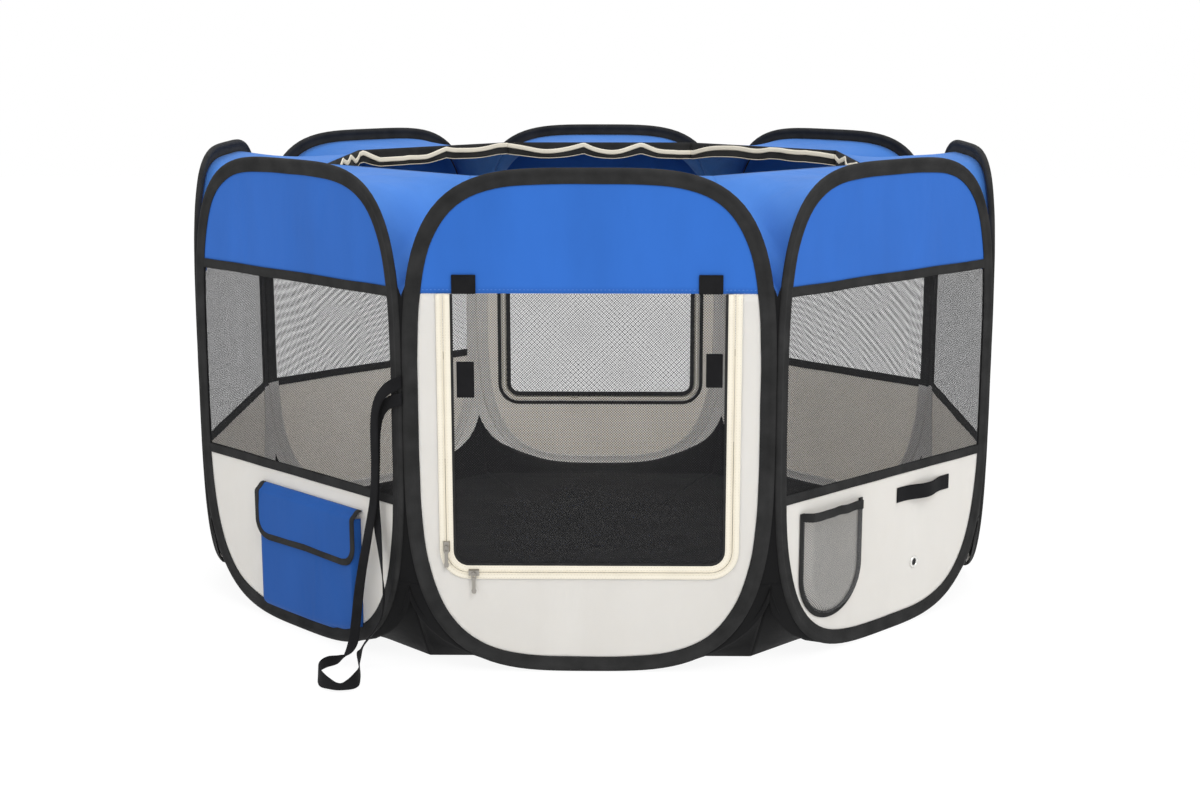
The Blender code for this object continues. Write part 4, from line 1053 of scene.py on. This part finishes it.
def pressed_pad(name, middle, size, body, replaced=()):
    """A pad of hook-and-loop tape: middle is (x, v, z) and size its width, thickness and height."""
    deselect()
    bpy.ops.mesh.primitive_cube_add(size=1.0, location=at_wall(FRONT, *middle))
    pad = fresh_primitive(name, size)
    bpy.ops.object.mode_set(mode="EDIT")
    bpy.ops.mesh.select_all(action="SELECT")
    bpy.ops.mesh.bevel(offset=size[1] * 0.3, segments=2, affect="EDGES")
    bpy.ops.object.mode_set(mode="OBJECT")
    for face in pad.data.polygons:
        face.select = face.normal.y < -0.99
    bpy.ops.object.mode_set(mode="EDIT")
    bpy.ops.mesh.select_mode(type="FACE")
    bpy.ops.mesh.inset(thickness=PAD_BORDER, depth=-PAD_GROOVE_DEPTH)
    bpy.ops.mesh.inset(thickness=PAD_GROOVE_WIDTH, depth=PAD_GROOVE_DEPTH)
    bpy.ops.mesh.subdivide(number_cuts=5)
    bpy.ops.object.mode_set(mode="OBJECT")
    for vert in pad.data.vertices:
        if vert.co.y < -APOTHEM - middle[1]:
            vert.co.y += PAD_PILE * ripple(vert.co.x, vert.co.z, 4.0, 420.0)
    dressed(turn_to(pad, FRONT), body, HOOK_AND_LOOP, replaced)


FRONT = WALLS.index("front")
TAB_SIZE, TAB_V = (0.027, 0.0024, 0.0215), 0.0021
PATCH_THICKNESS, PATCH_V = 0.0016, 0.00125
for name, x in (("left_door_tab", -0.1394), ("right_door_tab", 0.1355)):
    middle = (x, TAB_V, WINDOW_TOP + TAB_SIZE[2] / 2)
    pressed_pad(name + "_webbing", middle, TAB_SIZE, "front_wall", [name])
for name, left, right, low, high in (("left_door_patch", -0.1486, -0.1288, 0.323, 0.364),
                                     ("right_door_patch", 0.1310, 0.1496, 0.335, 0.3735)):
    middle = ((left + right) / 2, PATCH_V, (low + high) / 2)
    pressed_pad(name, middle, (right - left, PATCH_THICKNESS, high - low), "front_door")
print("tabs and patches done")

# %% [markdown]
# ## The patch pocket
# A box of blue cloth whose sides turn sharply back to the wall, open at the top, under a flap with a black
# edge. Its bottom thins out into the binding, which holds it. The flap leaves the wall just above the mouth,
# comes out over it and hangs down the pocket's face. A bevelled box could be the pocket, but a flat cut that
# is lifted between its seams has the uneven face of cloth.

# %% Patch pocket
FRONT_LEFT = WALLS.index("front_left")
POCKET_X, POCKET_Z, POCKET_DEPTH = (-0.068, 0.128), (0.041, 0.166), 0.012
FLAP_TOP, FLAP_BOTTOM, FLAP_OVERHANG, FLAP_RADIUS = 0.176, 0.110, 0.0035, 0.022
FLAP_THICKNESS, PUFF = 0.0012, 0.0012
POCKET_SEWN_INSET, POCKET_FOOT, POCKET_SIDE = 0.0172, 0.0175, 0.0035


def low_edge(x):
    """Height of the pocket's bottom, which the binding holds."""
    level = (1 - (abs(x) / (SIDE / 2)) ** BOTTOM_SQUARENESS) ** (1 / BOTTOM_SQUARENESS)
    return HEIGHT / 2 * (1 - level) + POCKET_FOOT


def pocket_lift(x, z):
    """The pocket's face, with its sides and bottom turned back to the wall."""
    near = min(x - POCKET_X[0], POCKET_X[1] - x, (z - low_edge(x)) / 3)
    face = POCKET_DEPTH - PUFF * (0.5 + 0.5 * ripple(x, z, 2.0, 16.0)) * ease(near, 0.004, 0.03)
    return SLOT_HALF + face * ease(near, -POCKET_SIDE, POCKET_SIDE) if near > 0.0001 else SLOT_HALF


sewn_edge = wall_outline(POCKET_SEWN_INSET)
sewn_low = [tuple(p) for p in sewn_edge if p.y < 0.1 and POCKET_X[0] < p.x < POCKET_X[1]]
pocket_cut = [(POCKET_X[0], POCKET_Z[1]), (POCKET_X[0], sewn_low[0][1]), *sewn_low,
              (POCKET_X[1], sewn_low[-1][1]), (POCKET_X[1], POCKET_Z[1])]
pocket = cloth("patch_pocket_cloth", FRONT_LEFT, pocket_cut, pocket_lift, cell=0.0035, offset=-1.0)
# The pocket's darker blue is painted shade.
dressed(pocket, "front_left_wall", SHADED_POCKET_BLUE, ["patch_pocket"])
print("pocket cut has", len(pocket_cut), "corners")


# %% Pocket flap
def flap_side():
    """The flap's side view as (v, z), from its hem to its lower edge."""
    start, front = SLOT_HALF + FLAP_THICKNESS / 2, SLOT_HALF + POCKET_DEPTH + GAP + FLAP_THICKNESS / 2
    shoulder = POCKET_Z[1] + FLAP_THICKNESS + GAP
    line = [(start, FLAP_TOP), (start + 0.004, FLAP_TOP - 0.0006), (front - 0.004, shoulder + 0.0030),
            (front - 0.0008, shoulder + 0.0008), (front, shoulder - 0.002), (front, FLAP_BOTTOM)]
    return even(line, 40)


FLAP_SPANS = 36
flap_left, flap_right = POCKET_X[0] - FLAP_OVERHANG, POCKET_X[1] + FLAP_OVERHANG
bm = bmesh.new()
rows, left_edge, right_edge = [], [], []
for v, z in flap_side():
    rise = min(1.0, (z - FLAP_BOTTOM) / FLAP_RADIUS)
    pull = FLAP_RADIUS * (1 - math.sqrt(max(0.0, 1 - (1 - rise) ** 2)))
    width = flap_right - flap_left - 2 * pull
    xs = [flap_left + pull + width * k / FLAP_SPANS for k in range(FLAP_SPANS + 1)]
    puff = PUFF * ease(FLAP_TOP - z, 0.01, 0.03)
    row = []
    for x in xs:
        puffed = v + puff * (0.5 + 0.5 * ripple(x, z, 8.0, 22.0))
        row.append(bm.verts.new(at_wall(FRONT_LEFT, x, puffed, z)))
    rows.append(row)
    left_edge.append((xs[0], v, z))
    right_edge.append((xs[-1], v, z))
for first, second in zip(rows, rows[1:]):
    for k in range(FLAP_SPANS):
        bm.faces.new((first[k], second[k], second[k + 1], first[k + 1]))
turn_back = Matrix.Rotation(-2 * HALF_TURN * FRONT_LEFT, 3, "Z")
map_metres(bm, lambda vert: (turn_back @ vert.co).xz)
flap = thicken(from_bmesh("pocket_flap_cloth", bm), FLAP_THICKNESS * SEEN_SHARE)
# The flap's darker blue is painted shade as well.
dressed(flap, "pocket_flap", SHADED_POCKET_BLUE, ["pocket_flap"])
print("flap", round(flap_right - flap_left, 3), "wide")

# %% The flap's black edge
FLAP_TAPE_INSET, FLAP_TAPE_WIDTH, FLAP_TAPE_THICKNESS = 0.0032, 0.0084, 0.0019
middle_x = (flap_left + flap_right) / 2
flap_edge_line = left_edge + [(middle_x, left_edge[-1][1], FLAP_BOTTOM)] + right_edge[::-1]
inset_line = []
for x, v, z in flap_edge_line:
    inwards = Vector((middle_x - x, 0, max(0.0, FLAP_TOP - 0.02 - z) * 0.9)).normalized() * FLAP_TAPE_INSET
    inset_line.append(at_wall(FRONT_LEFT, x + inwards.x, v + 0.0008, z + inwards.z))
flap_edge = tape("pocket_flap_binding", even(inset_line, 190), outward(FRONT_LEFT), FLAP_TAPE_WIDTH,
                 FLAP_TAPE_THICKNESS)
dressed(flap_edge, "pocket_flap", BINDING_BLACK)
print("edge tape", round(sum((b - a).length for a, b in zip(inset_line, inset_line[1:])), 3), "long")

# %% [markdown]
# ## The mesh pocket and the bottle strap
# The mesh pocket is a rounded bag with a wide tape round its mouth and a narrow one round its sewn edge. It
# could be half of a flattened cylinder, but a lifted cut keeps the holes of the mesh even. The bottle strap
# is a short webbing sewn down at both ends, with slack in its middle. The eyelet lets a drinking tube
# through: a polished ring over a dark disc, which is painted shade that stands for the shaded hole and leaves
# the cloth whole.

# %% Mesh pocket
FRONT_RIGHT = WALLS.index("front_right")
MESH_X, MESH_Z, MESH_DEPTH = (-0.162, -0.053), (0.048, 0.180), 0.010
MESH_STANDOFF, MESH_SLACK = 0.0004, 0.0022
MOUTH_TAPE_WIDTH, MOUTH_TAPE_THICKNESS, MOUTH_TAPE_DROP, MOUTH_WAVE = 0.011, 0.0016, 0.0052, 0.0018
EDGE_TAPE_WIDTH, EDGE_TAPE_THICKNESS, EDGE_TAPE_V = 0.0082, 0.0014, 0.0018
mesh_middle, mesh_half = sum(MESH_X) / 2, (MESH_X[1] - MESH_X[0]) / 2


def from_pocket_edge(x, z):
    """Distance in from the pocket's sewn edge."""
    low_centre = MESH_Z[0] + mesh_half
    if z >= low_centre:
        return mesh_half - abs(x - mesh_middle)
    return mesh_half - math.hypot(x - mesh_middle, z - low_centre)


def mesh_lift(x, z):
    """The bag's face: a little slack, and rounded back to the wall along its sewn edge."""
    near = from_pocket_edge(x, z)
    slack = MESH_SLACK * (0.5 + 0.5 * ripple(x, z * 0.5, 6.0, 26.0)) * ease(near, 0.008, 0.03)
    return SLOT_HALF + MESH_STANDOFF + (MESH_DEPTH + MESH_STANDOFF - slack) * ease(near, 0.0, 0.0095)


mesh_cut = [(MESH_X[0], MESH_Z[1])]
for step in range(33):
    turn = math.pi * step / 32
    mesh_cut.append((mesh_middle - mesh_half * math.cos(turn), MESH_Z[0] + mesh_half * (1 - math.sin(turn))))
mesh_cut.append((MESH_X[1], MESH_Z[1]))
mesh_bag = cloth("mesh_pocket_cloth", FRONT_RIGHT, mesh_cut, mesh_lift, thickness=MESH_CLOTH, cell=0.004)
dressed(mesh_bag, "front_right_wall", POCKET_MESH, ["mesh_pocket"])
look = outward(FRONT_RIGHT)
mouth = []
for k in range(61):
    share = k / 30 - 1
    v = mesh_lift(mesh_middle + mesh_half * 0.999 * share, MESH_Z[1]) + 0.0002
    z = MESH_Z[1] - MOUTH_TAPE_DROP + MOUTH_WAVE * ripple(k / 9, 0, 3.0, 1.0)
    mouth.append(at_wall(FRONT_RIGHT, mesh_middle + (mesh_half + 0.001) * share, v, z))
mouth_tape = tape("mesh_pocket_mouth_tape", mouth, look, MOUTH_TAPE_WIDTH, MOUTH_TAPE_THICKNESS)
edge_line = on_wall(FRONT_RIGHT, even(mesh_cut, 130), EDGE_TAPE_V)
edge_tape = tape("mesh_pocket_edge_tape", edge_line, look, EDGE_TAPE_WIDTH, EDGE_TAPE_THICKNESS)
for made in (mouth_tape, edge_tape):
    dressed(made, "front_right_wall", BINDING_BLACK)
print("mesh pocket done")

# %% Bottle strap
STRAP_LEFT, STRAP_RIGHT, STRAP_Z, STRAP_RISE, STRAP_END = 0.0205, 0.128, 0.169, 0.0085, 0.014
BOTTLE_WIDTH, BAR_STITCH = 0.019, (0.0016, 0.0022, 0.0005, 0.0004)
strap_run, strap_reach = [], STRAP_RIGHT - STRAP_LEFT
for step in range(81):
    x = STRAP_LEFT + strap_reach * step / 80
    free = min(1.0, max(0.0, (x - STRAP_LEFT - STRAP_END) / (strap_reach - 2 * STRAP_END)))
    rise = STRAP_RISE * math.sin(math.pi * free) ** 2
    strap_run.append(at_wall(FRONT_RIGHT, x, SLOT_HALF + WEBBING / 2 + rise, STRAP_Z))
bottle = tape("bottle_strap_webbing", strap_run, look, BOTTLE_WIDTH, WEBBING, columns=6)
dressed(bottle, "front_right_wall", WEBBING_BLACK, ["bottle_strap"])
bar_heights = [STRAP_Z + 0.8 * BOTTLE_WIDTH * (k / 4 - 0.5) for k in range(5)]
bars = [on_wall(FRONT_RIGHT, [(x, z) for z in bar_heights], SLOT_HALF + WEBBING)
        for x in (STRAP_LEFT + 0.002, STRAP_LEFT + 0.010, STRAP_RIGHT - 0.010, STRAP_RIGHT - 0.002)]
sewn = studs("bottle_strap_stitches", bars, [look] * len(bars), BAR_STITCH)
dressed(sewn, "front_right_wall", BLACK_THREAD)
print("bottle strap", round(sum((b - a).length for a, b in zip(strap_run, strap_run[1:])), 3), "m")

# %% Eyelet
EYELET_X, EYELET_Z, EYELET_V = 0.0606, 0.0764, 0.0006
EYELET_RADIUS, EYELET_WIRE_RADIUS, HOLE_SHADE_RADIUS, HOLE_SHADE_DEPTH = 0.0060, 0.0017, 0.0048, 0.0012
deselect()
bpy.ops.mesh.primitive_torus_add(major_radius=EYELET_RADIUS, minor_radius=EYELET_WIRE_RADIUS,
                                 major_segments=32, minor_segments=12, rotation=(math.pi / 2, 0, 0),
                                 location=(EYELET_X, -APOTHEM - EYELET_V, EYELET_Z))
eyelet = turn_to(fresh_primitive("water_tube_eyelet"), FRONT_RIGHT)
bpy.ops.object.shade_smooth()
dressed(eyelet, "front_right_wall", POLISHED)
# The dark disc is painted shade: it stands for the eyelet's shaded hole.
deselect()
bpy.ops.mesh.primitive_cylinder_add(vertices=24, radius=HOLE_SHADE_RADIUS, depth=HOLE_SHADE_DEPTH,
                                    location=(EYELET_X, -APOTHEM, EYELET_Z), rotation=(math.pi / 2, 0, 0))
hole = turn_to(fresh_primitive("eyelet_hole_shade_disc"), FRONT_RIGHT)
dressed(hole, "front_right_wall", BLACK_THREAD)
print("eyelet", round(2 * (EYELET_RADIUS + EYELET_WIRE_RADIUS), 4), "across")

# %% [markdown]
# ## Rim and floor
# The rim is a ring of blue cloth that slopes in from the tops of the walls and runs down between two
# walls as a pointed web. The floor is sewn round the bottoms in the same way, and its webs rise to sharp
# peaks. In the real pen each is one cloth, and here each could be one mesh that bends with all eight walls.
# It would cross itself in the flat fold. So each is cut at the seams into eight sectors, one for each wall,
# and a sector is fixed to its wall.

# %% Where rim and floor are sewn
WEB_INSET, RIM_WIDTH, RIM_INNER_Z, RIM_APEX_Z, RIM_SAG, RIM_CLOTH = 0.0065, 0.160, 0.559, 0.430, 0.004, 0.0008
RIM_SEWN_INSET, RIM_STANDOFF, RIM_ROWS = 0.0172, 0.0033, 12
RIM_CREASE, SEWN_PUCKER = 0.0030, 0.0026


def web_edge(low, high, standoff):
    """Where a rim or floor sector is sewn to its wall, from seam to seam, as (x, v, z). The rim's line moves
    over to the inner edge of the binding's flap, which is then seen from behind above the rim. The floor's
    line moves over to the seam as it rises, which makes its peak sharp."""
    seam_x = (APOTHEM - standoff) * math.tan(HALF_TURN)
    apex = low if low > 0 else high
    near, far = wall_outline(WEB_INSET), wall_outline(RIM_SEWN_INSET)
    moved = [a.lerp(b, ease(a.y, RIM_APEX_Z, RIM_APEX_Z + 0.045)) for a, b in zip(near, far)]
    sewn = sorted((p.x, p.y) for p in moved if low < p.y < high)
    if high == FLOOR_APEX_Z:
        risen = [max(0.0, z - WEB_FOOT) / (high - WEB_FOOT) for x, z in sewn]
        sewn = [(x + math.copysign(up * (seam_x - abs(x)), x), z) for up, (x, z) in zip(risen, sewn)]
    line = [(-seam_x, apex), *sewn, (seam_x, apex)]
    return [(x, -standoff, z) for x, z in line]


def densified(edge, longest=0.010):
    """The same edge with extra points on its long runs."""
    made = [edge[0]]
    for first, second in zip(edge, edge[1:]):
        run = (Vector(second) - Vector(first)).length
        for step in range(1, math.ceil(run / longest) + 1):
            made.append(tuple(Vector(first).lerp(Vector(second), step / math.ceil(run / longest))))
    return made


print("rim is sewn at", len(web_edge(RIM_APEX_Z, HEIGHT, RIM_STANDOFF)), "points")


# %% Sectors, one for each wall
def sector(name, wall, edge, lines):
    """Cloth from a wall's edge inwards. Lines gives the line of points that starts at a point of the edge."""
    runs = [0.0]
    for first, second in zip(edge, edge[1:]):
        runs.append(runs[-1] + (Vector(second) - Vector(first)).length)
    bm = bmesh.new()
    strips, flat = [], {}
    for point, run in zip(edge, runs):
        strip = []
        for place in lines(Vector(point), run / runs[-1]):
            vert = bm.verts.new(at_wall(wall, *place))
            strip.append(vert)
            flat[vert] = (place[0], place[1] + place[2])
        strips.append(strip)
    for first, second in zip(strips, strips[1:]):
        for row in range(len(first) - 1):
            bm.faces.new((first[row], second[row], second[row + 1], first[row + 1]))
    map_metres(bm, flat.get)
    bmesh.ops.remove_doubles(bm, verts=bm.verts, dist=1e-5)
    bmesh.ops.recalc_face_normals(bm, faces=bm.faces)
    return from_bmesh(name, bm)


def fold_flat(piece):
    """Give a piece of the rim, floor or gussets a mesh of its own."""
    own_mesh(piece)


# %% Rim
def rim_lines(wall):
    """Lines from the wall in to the rim's inner edge, which sag and crease between the two."""
    inner = APOTHEM - RIM_WIDTH

    def lines(point, share):
        end = Vector((inner * math.tan(HALF_TURN) * (2 * share - 1), -RIM_WIDTH, RIM_INNER_Z))
        made = []
        for row in range(RIM_ROWS + 1):
            part = row / RIM_ROWS
            place = point.lerp(end, part)
            world = at_wall(wall, *place)
            crease = RIM_CREASE * ripple(world.x, world.y, 11.0, 9.0)
            pucker = SEWN_PUCKER * ripple(share * 3.4 + wall * 5.0, part * 0.4, 3.0, 4.0)
            crease += pucker * (1 - part) ** 0.5
            place.z += (crease - RIM_SAG) * 4 * part * (1 - part)
            made.append(place)
        return made

    return lines


for wall, name in enumerate(WALLS):
    edge = densified(web_edge(RIM_APEX_Z, HEIGHT, RIM_STANDOFF))
    rim = thicken(sector(name + "_rim_cloth", wall, edge, rim_lines(wall)), RIM_CLOTH * SEEN_SHARE)
    # The rim's lighter blue is painted light on its upturned face.
    dressed(rim, name + "_wall", LIT_RIM_BLUE, ["top_rim"])
    fold_flat(rim)
print("rim sectors done")

# %% [markdown]
# ## The zip half at the rim
# A roof can be zipped on to the rim, so its inner edge carries half a zip: a black tape with an ivory coil
# that has gone wavy, since the tape was sewn on longer than the rim. The waves could be pulled by hand. A
# noise round a circle is quicker, and it closes on itself, so the last wall meets the first with no step.

# %% Waves of the zip tape
TAPE_DROP, TAPE_THICKNESS, SWAY, EDGE_WAVE = 0.022, 0.0009, 0.0040, 0.17
COIL_DROP, COIL_STANDOFF, COIL_WAVE, COIL_WIDTH, COIL_THICKNESS = 0.0092, 0.0011, 0.0042, 0.0070, 0.0014
HEM_DROP, HEM_STANDOFF, HEM_WIDTH, HEM_THICKNESS = TAPE_DROP - 0.0006, 0.0005, 0.0012, 0.0006
tape_inner = APOTHEM - RIM_WIDTH - RIM_CLOTH / 2 - GAP - 0.0005
tape_top = RIM_INNER_Z + RIM_CLOTH / 2


def flutter(wall, share, seed):
    """Unevenness along the whole ring, which closes on itself: -1 in a sharp peak, 1 in a round hollow."""
    turn = 2 * HALF_TURN * (wall + share)
    broad = noise.noise(Vector((math.cos(turn) * 2.3, math.sin(turn) * 2.3, seed)))
    fine = noise.noise(Vector((math.cos(turn) * 7.5, math.sin(turn) * 7.5, seed + 4)))
    return max(-1.0, min(1.0, 1.0 - 2.0 * max(0.0, 1.0 - 3.2 * abs(broad)) ** 1.6 + 0.6 * fine))


def tape_place(wall, share, drop):
    """A point on the hanging tape, a distance down from its top."""
    x = tape_inner * math.tan(HALF_TURN) * (2 * share - 1)
    held = math.sin(math.pi * share) ** 0.5
    inwards = SWAY * held * (0.5 + 0.5 * flutter(wall, share, 3.0)) * drop / TAPE_DROP
    lower = EDGE_WAVE * drop * flutter(wall, share, 8.0)
    return Vector((x, tape_inner - APOTHEM - inwards, tape_top - drop - lower))


def tape_line(wall, drop, off, wave=0.0):
    """A line along the hanging tape, lying a distance off its inner face."""
    made = []
    for step in range(91):
        share = step / 90
        place = tape_place(wall, share, drop + wave * flutter(wall, share, 8.0))
        made.append(at_wall(wall, place.x, place.y - off, place.z))
    return made


print("first wave", round(flutter(0, 0.0, 8.0), 3), "last wave", round(flutter(7, 1.0, 8.0), 3))


# %% Rim zip
def tape_rows(wall):
    """Lines down the hanging tape, one for each point of its top."""
    return lambda point, share: [tape_place(wall, share, TAPE_DROP * row / 6) for row in range(7)]


half_side = tape_inner * math.tan(HALF_TURN)
top = [(half_side * (k / 40 - 1), tape_inner - APOTHEM, tape_top) for k in range(81)]
for wall, name in enumerate(WALLS):
    hanging = thicken(sector(name + "_rim_zip_tape", wall, top, tape_rows(wall)), TAPE_THICKNESS)
    dressed(hanging, name + "_wall", BINDING_BLACK, ["rim_zip_tape"])
    line = tape_line(wall, COIL_DROP, COIL_STANDOFF, COIL_WAVE)
    coil = tape(name + "_rim_zip_coil", line, -outward(wall), COIL_WIDTH, COIL_THICKNESS)
    dressed(coil, name + "_wall", IVORY)
    line = tape_line(wall, HEM_DROP, HEM_STANDOFF)
    hem = tape(name + "_rim_zip_hem", line, -outward(wall), HEM_WIDTH, HEM_THICKNESS, columns=2)
    dressed(hem, name + "_wall", CREAM_THREAD)
    for piece in (hanging, coil, hem):
        fold_flat(piece)
print("rim zip done")

# %% [markdown]
# ## The floor
# Coated black polyester lies flat on the ground and turns up to the bottoms of the walls. It has the soft
# wrinkles of cloth that was folded in a bag, which only ever rise from the ground. A flat octagon could stand
# for it, but it would neither turn up nor wrinkle, so each sector is a fan of lines from wall to centre.

# %% Floor sectors
FLOOR_CLOTH, FLOOR_FLAT_INSET, FLOOR_WRINKLE = 0.0010, 0.050, 0.0034


def floor_lines(wall):
    """Lines from the wall down to the ground and in to the pen's centre."""
    inner = APOTHEM - FLOOR_FLAT_INSET

    def lines(point, share):
        turn_up = Vector((inner * math.tan(HALF_TURN) * (2 * share - 1), -FLOOR_FLAT_INSET, FLOOR_CLOTH))
        centre = Vector((0, -APOTHEM, FLOOR_CLOTH))
        made = [point.lerp(turn_up, row / 5) for row in range(5)]
        made += [turn_up.lerp(centre, row / 34) for row in range(35)]
        for place in made:
            world = at_wall(wall, *place)
            wave = 0.3 + ripple(world.x, world.y, 2.0, 6.5) + 0.5 * ripple(world.x, world.y, 7.0, 17.0)
            free = ease(-place.y, 0.05, 0.12) * ease(APOTHEM + place.y, 0.0, 0.02)
            place.z += FLOOR_WRINKLE * max(0.0, wave) * free
        return made

    return lines


for wall, name in enumerate(WALLS):
    edge = densified(web_edge(0.0, FLOOR_APEX_Z, BINDING_RADIUS + FLOOR_CLOTH + GAP), 0.012)
    floor = sector(name + "_floor_cloth", wall, edge, floor_lines(wall))
    thicken(floor, FLOOR_CLOTH * SEEN_SHARE, offset=-1.0)
    dressed(floor, name + "_wall", FLOOR_BLACK, ["floor_sheet"])
    fold_flat(floor)
print("floor sectors done")

# %% [markdown]
# ## Gussets
# The walls' lower corners part above the floor's pointed webs. Black cloth closes each gap outside and cream
# cloth inside. The seam strips could go on down here, but they would crumple in the fold, where the gap is
# wide. So every wall has its own halves, fixed to it.

# %% Gussets
GUSSET_ROWS, GUSSET_SPANS = 14, 6


def make_gussets(wall, kind, foot, peak, tuck, v, finish):
    """Both lower corners of a wall: cloth from its edge to the middle between it and the next wall. The lower
    end rises from a foot at the edge to a peak in the middle. The cloth nears the seam strip as it rises."""
    patches = []
    for side in (1, -1):
        rows = []
        for step in range(GUSSET_ROWS + 1):
            row = []
            for k in range(GUSSET_SPANS + 1):
                low = foot + (peak - foot) * k / GUSSET_SPANS
                z = low + (GUSSET_TOP - low) * step / GUSSET_ROWS
                deep = v * (1 - 0.7 * step / GUSSET_ROWS)
                near = at_wall(wall, side * (edge_x(z) - tuck), deep, z)
                far = at_wall((wall + side) % len(WALLS), side * (tuck - edge_x(z)), deep, z)
                row.append(near.lerp(far, k / GUSSET_SPANS / 2))
            rows.append(row)
        patches.append(rows)
    piece = grid_piece(f"{WALLS[wall]}_{kind}", patches)
    dressed(piece, WALLS[wall] + "_wall", finish)
    fold_flat(piece)


for wall in range(len(WALLS)):
    make_gussets(wall, "gussets", foot=0.010, peak=0.082, tuck=0.0025, v=0.0011, finish=FLOOR_BLACK)
    make_gussets(wall, "gusset_linings", foot=WEB_FOOT, peak=0.092, tuck=0.0050, v=-0.0026,
                 finish=LIT_LINING_CREAM)
print("gussets", 2 * len(WALLS))

# %% [markdown]
# ## Studio
# The photograph is cut out on white. A white floor under a pale sky light keeps the colours plain. A broad
# lamp in front, above and a little to the right gives each wall its own tone, and a smaller one straight
# above lights the inside. More light could whiten the background, but it would bleach the cloth as well. So
# floor and sky show full white only to the camera and in what mirrors them.

# %% White floor
GROUND_SIZE, GROUND_Z, GROUND_GLOW, GLOW_SHARE = 14.0, -0.0004, 1.06, 0.86


def rays_that_see_white(tree):
    """1 for rays from the camera and those that metal or glass throws on."""
    path, either = node(tree, "ShaderNodeLightPath"), None
    for kind in ("Is Camera Ray", "Is Glossy Ray", "Is Transmission Ray"):
        both = node(tree, "ShaderNodeMath", operation="MAXIMUM")
        tree.links.new(path.outputs[kind], both.inputs[0])
        if either:
            tree.links.new(either, both.inputs[1])
        either = both.outputs[0]
    return either


deselect()
bpy.ops.mesh.primitive_plane_add(size=GROUND_SIZE, location=(0, 0, GROUND_Z))
ground = bpy.context.object
ground.name = ground.data.name = "ground"
white, tree, shader = shader_of("white_ground", (0.90, 0.90, 0.90), 0.9)
glow = node(tree, "ShaderNodeEmission", strength=GROUND_GLOW)
glow.inputs["Color"].default_value = (1.0, 1.0, 1.0, 1.0)
share = node(tree, "ShaderNodeMath", operation="MULTIPLY")
share.inputs[1].default_value = GLOW_SHARE
mixed = node(tree, "ShaderNodeMixShader")
tree.links.new(rays_that_see_white(tree), share.inputs[0])
tree.links.new(share.outputs[0], mixed.inputs[0])
tree.links.new(shader.outputs["BSDF"], mixed.inputs[1])
tree.links.new(glow.outputs["Emission"], mixed.inputs[2])
tree.links.new(mixed.outputs["Shader"], tree.nodes["Material Output"].inputs["Surface"])
ground.data.materials.append(white)
print("floor", GROUND_SIZE, "m wide")

# %% Sky and lamps
SKY_LIGHT, SKY_SEEN = 0.62, 1.0
world = bpy.data.worlds.new("studio")
bpy.context.scene.world = world
world.use_nodes = True
sky = world.node_tree
background = sky.nodes["Background"]
background.inputs["Color"].default_value = (1.0, 1.0, 1.0, 1.0)
strength = stretched_range(sky, rays_that_see_white(sky), "To", SKY_LIGHT, SKY_SEEN)
sky.links.new(strength, background.inputs["Strength"])


def disc_lamp(name, size, power, place):
    """A round soft lamp, which shines straight down until it is turned."""
    made = bpy.data.lights.new(name, "AREA")
    made.shape, made.size, made.energy = "DISK", size, power
    lamp = bpy.data.objects.new(name, made)
    bpy.context.scene.collection.objects.link(lamp)
    lamp.location = place
    return lamp


broad = disc_lamp("broad_lamp", size=2.4, power=57.0, place=(0.95, -2.7, 3.0))
broad.rotation_euler = (Vector((0, 0, 0.3)) - broad.location).to_track_quat("-Z", "Y").to_euler()
disc_lamp("overhead_lamp", size=1.8, power=16.0, place=(0.0, -0.15, 2.6))
bpy.context.scene.view_settings.view_transform = "Standard"
print("studio ready")
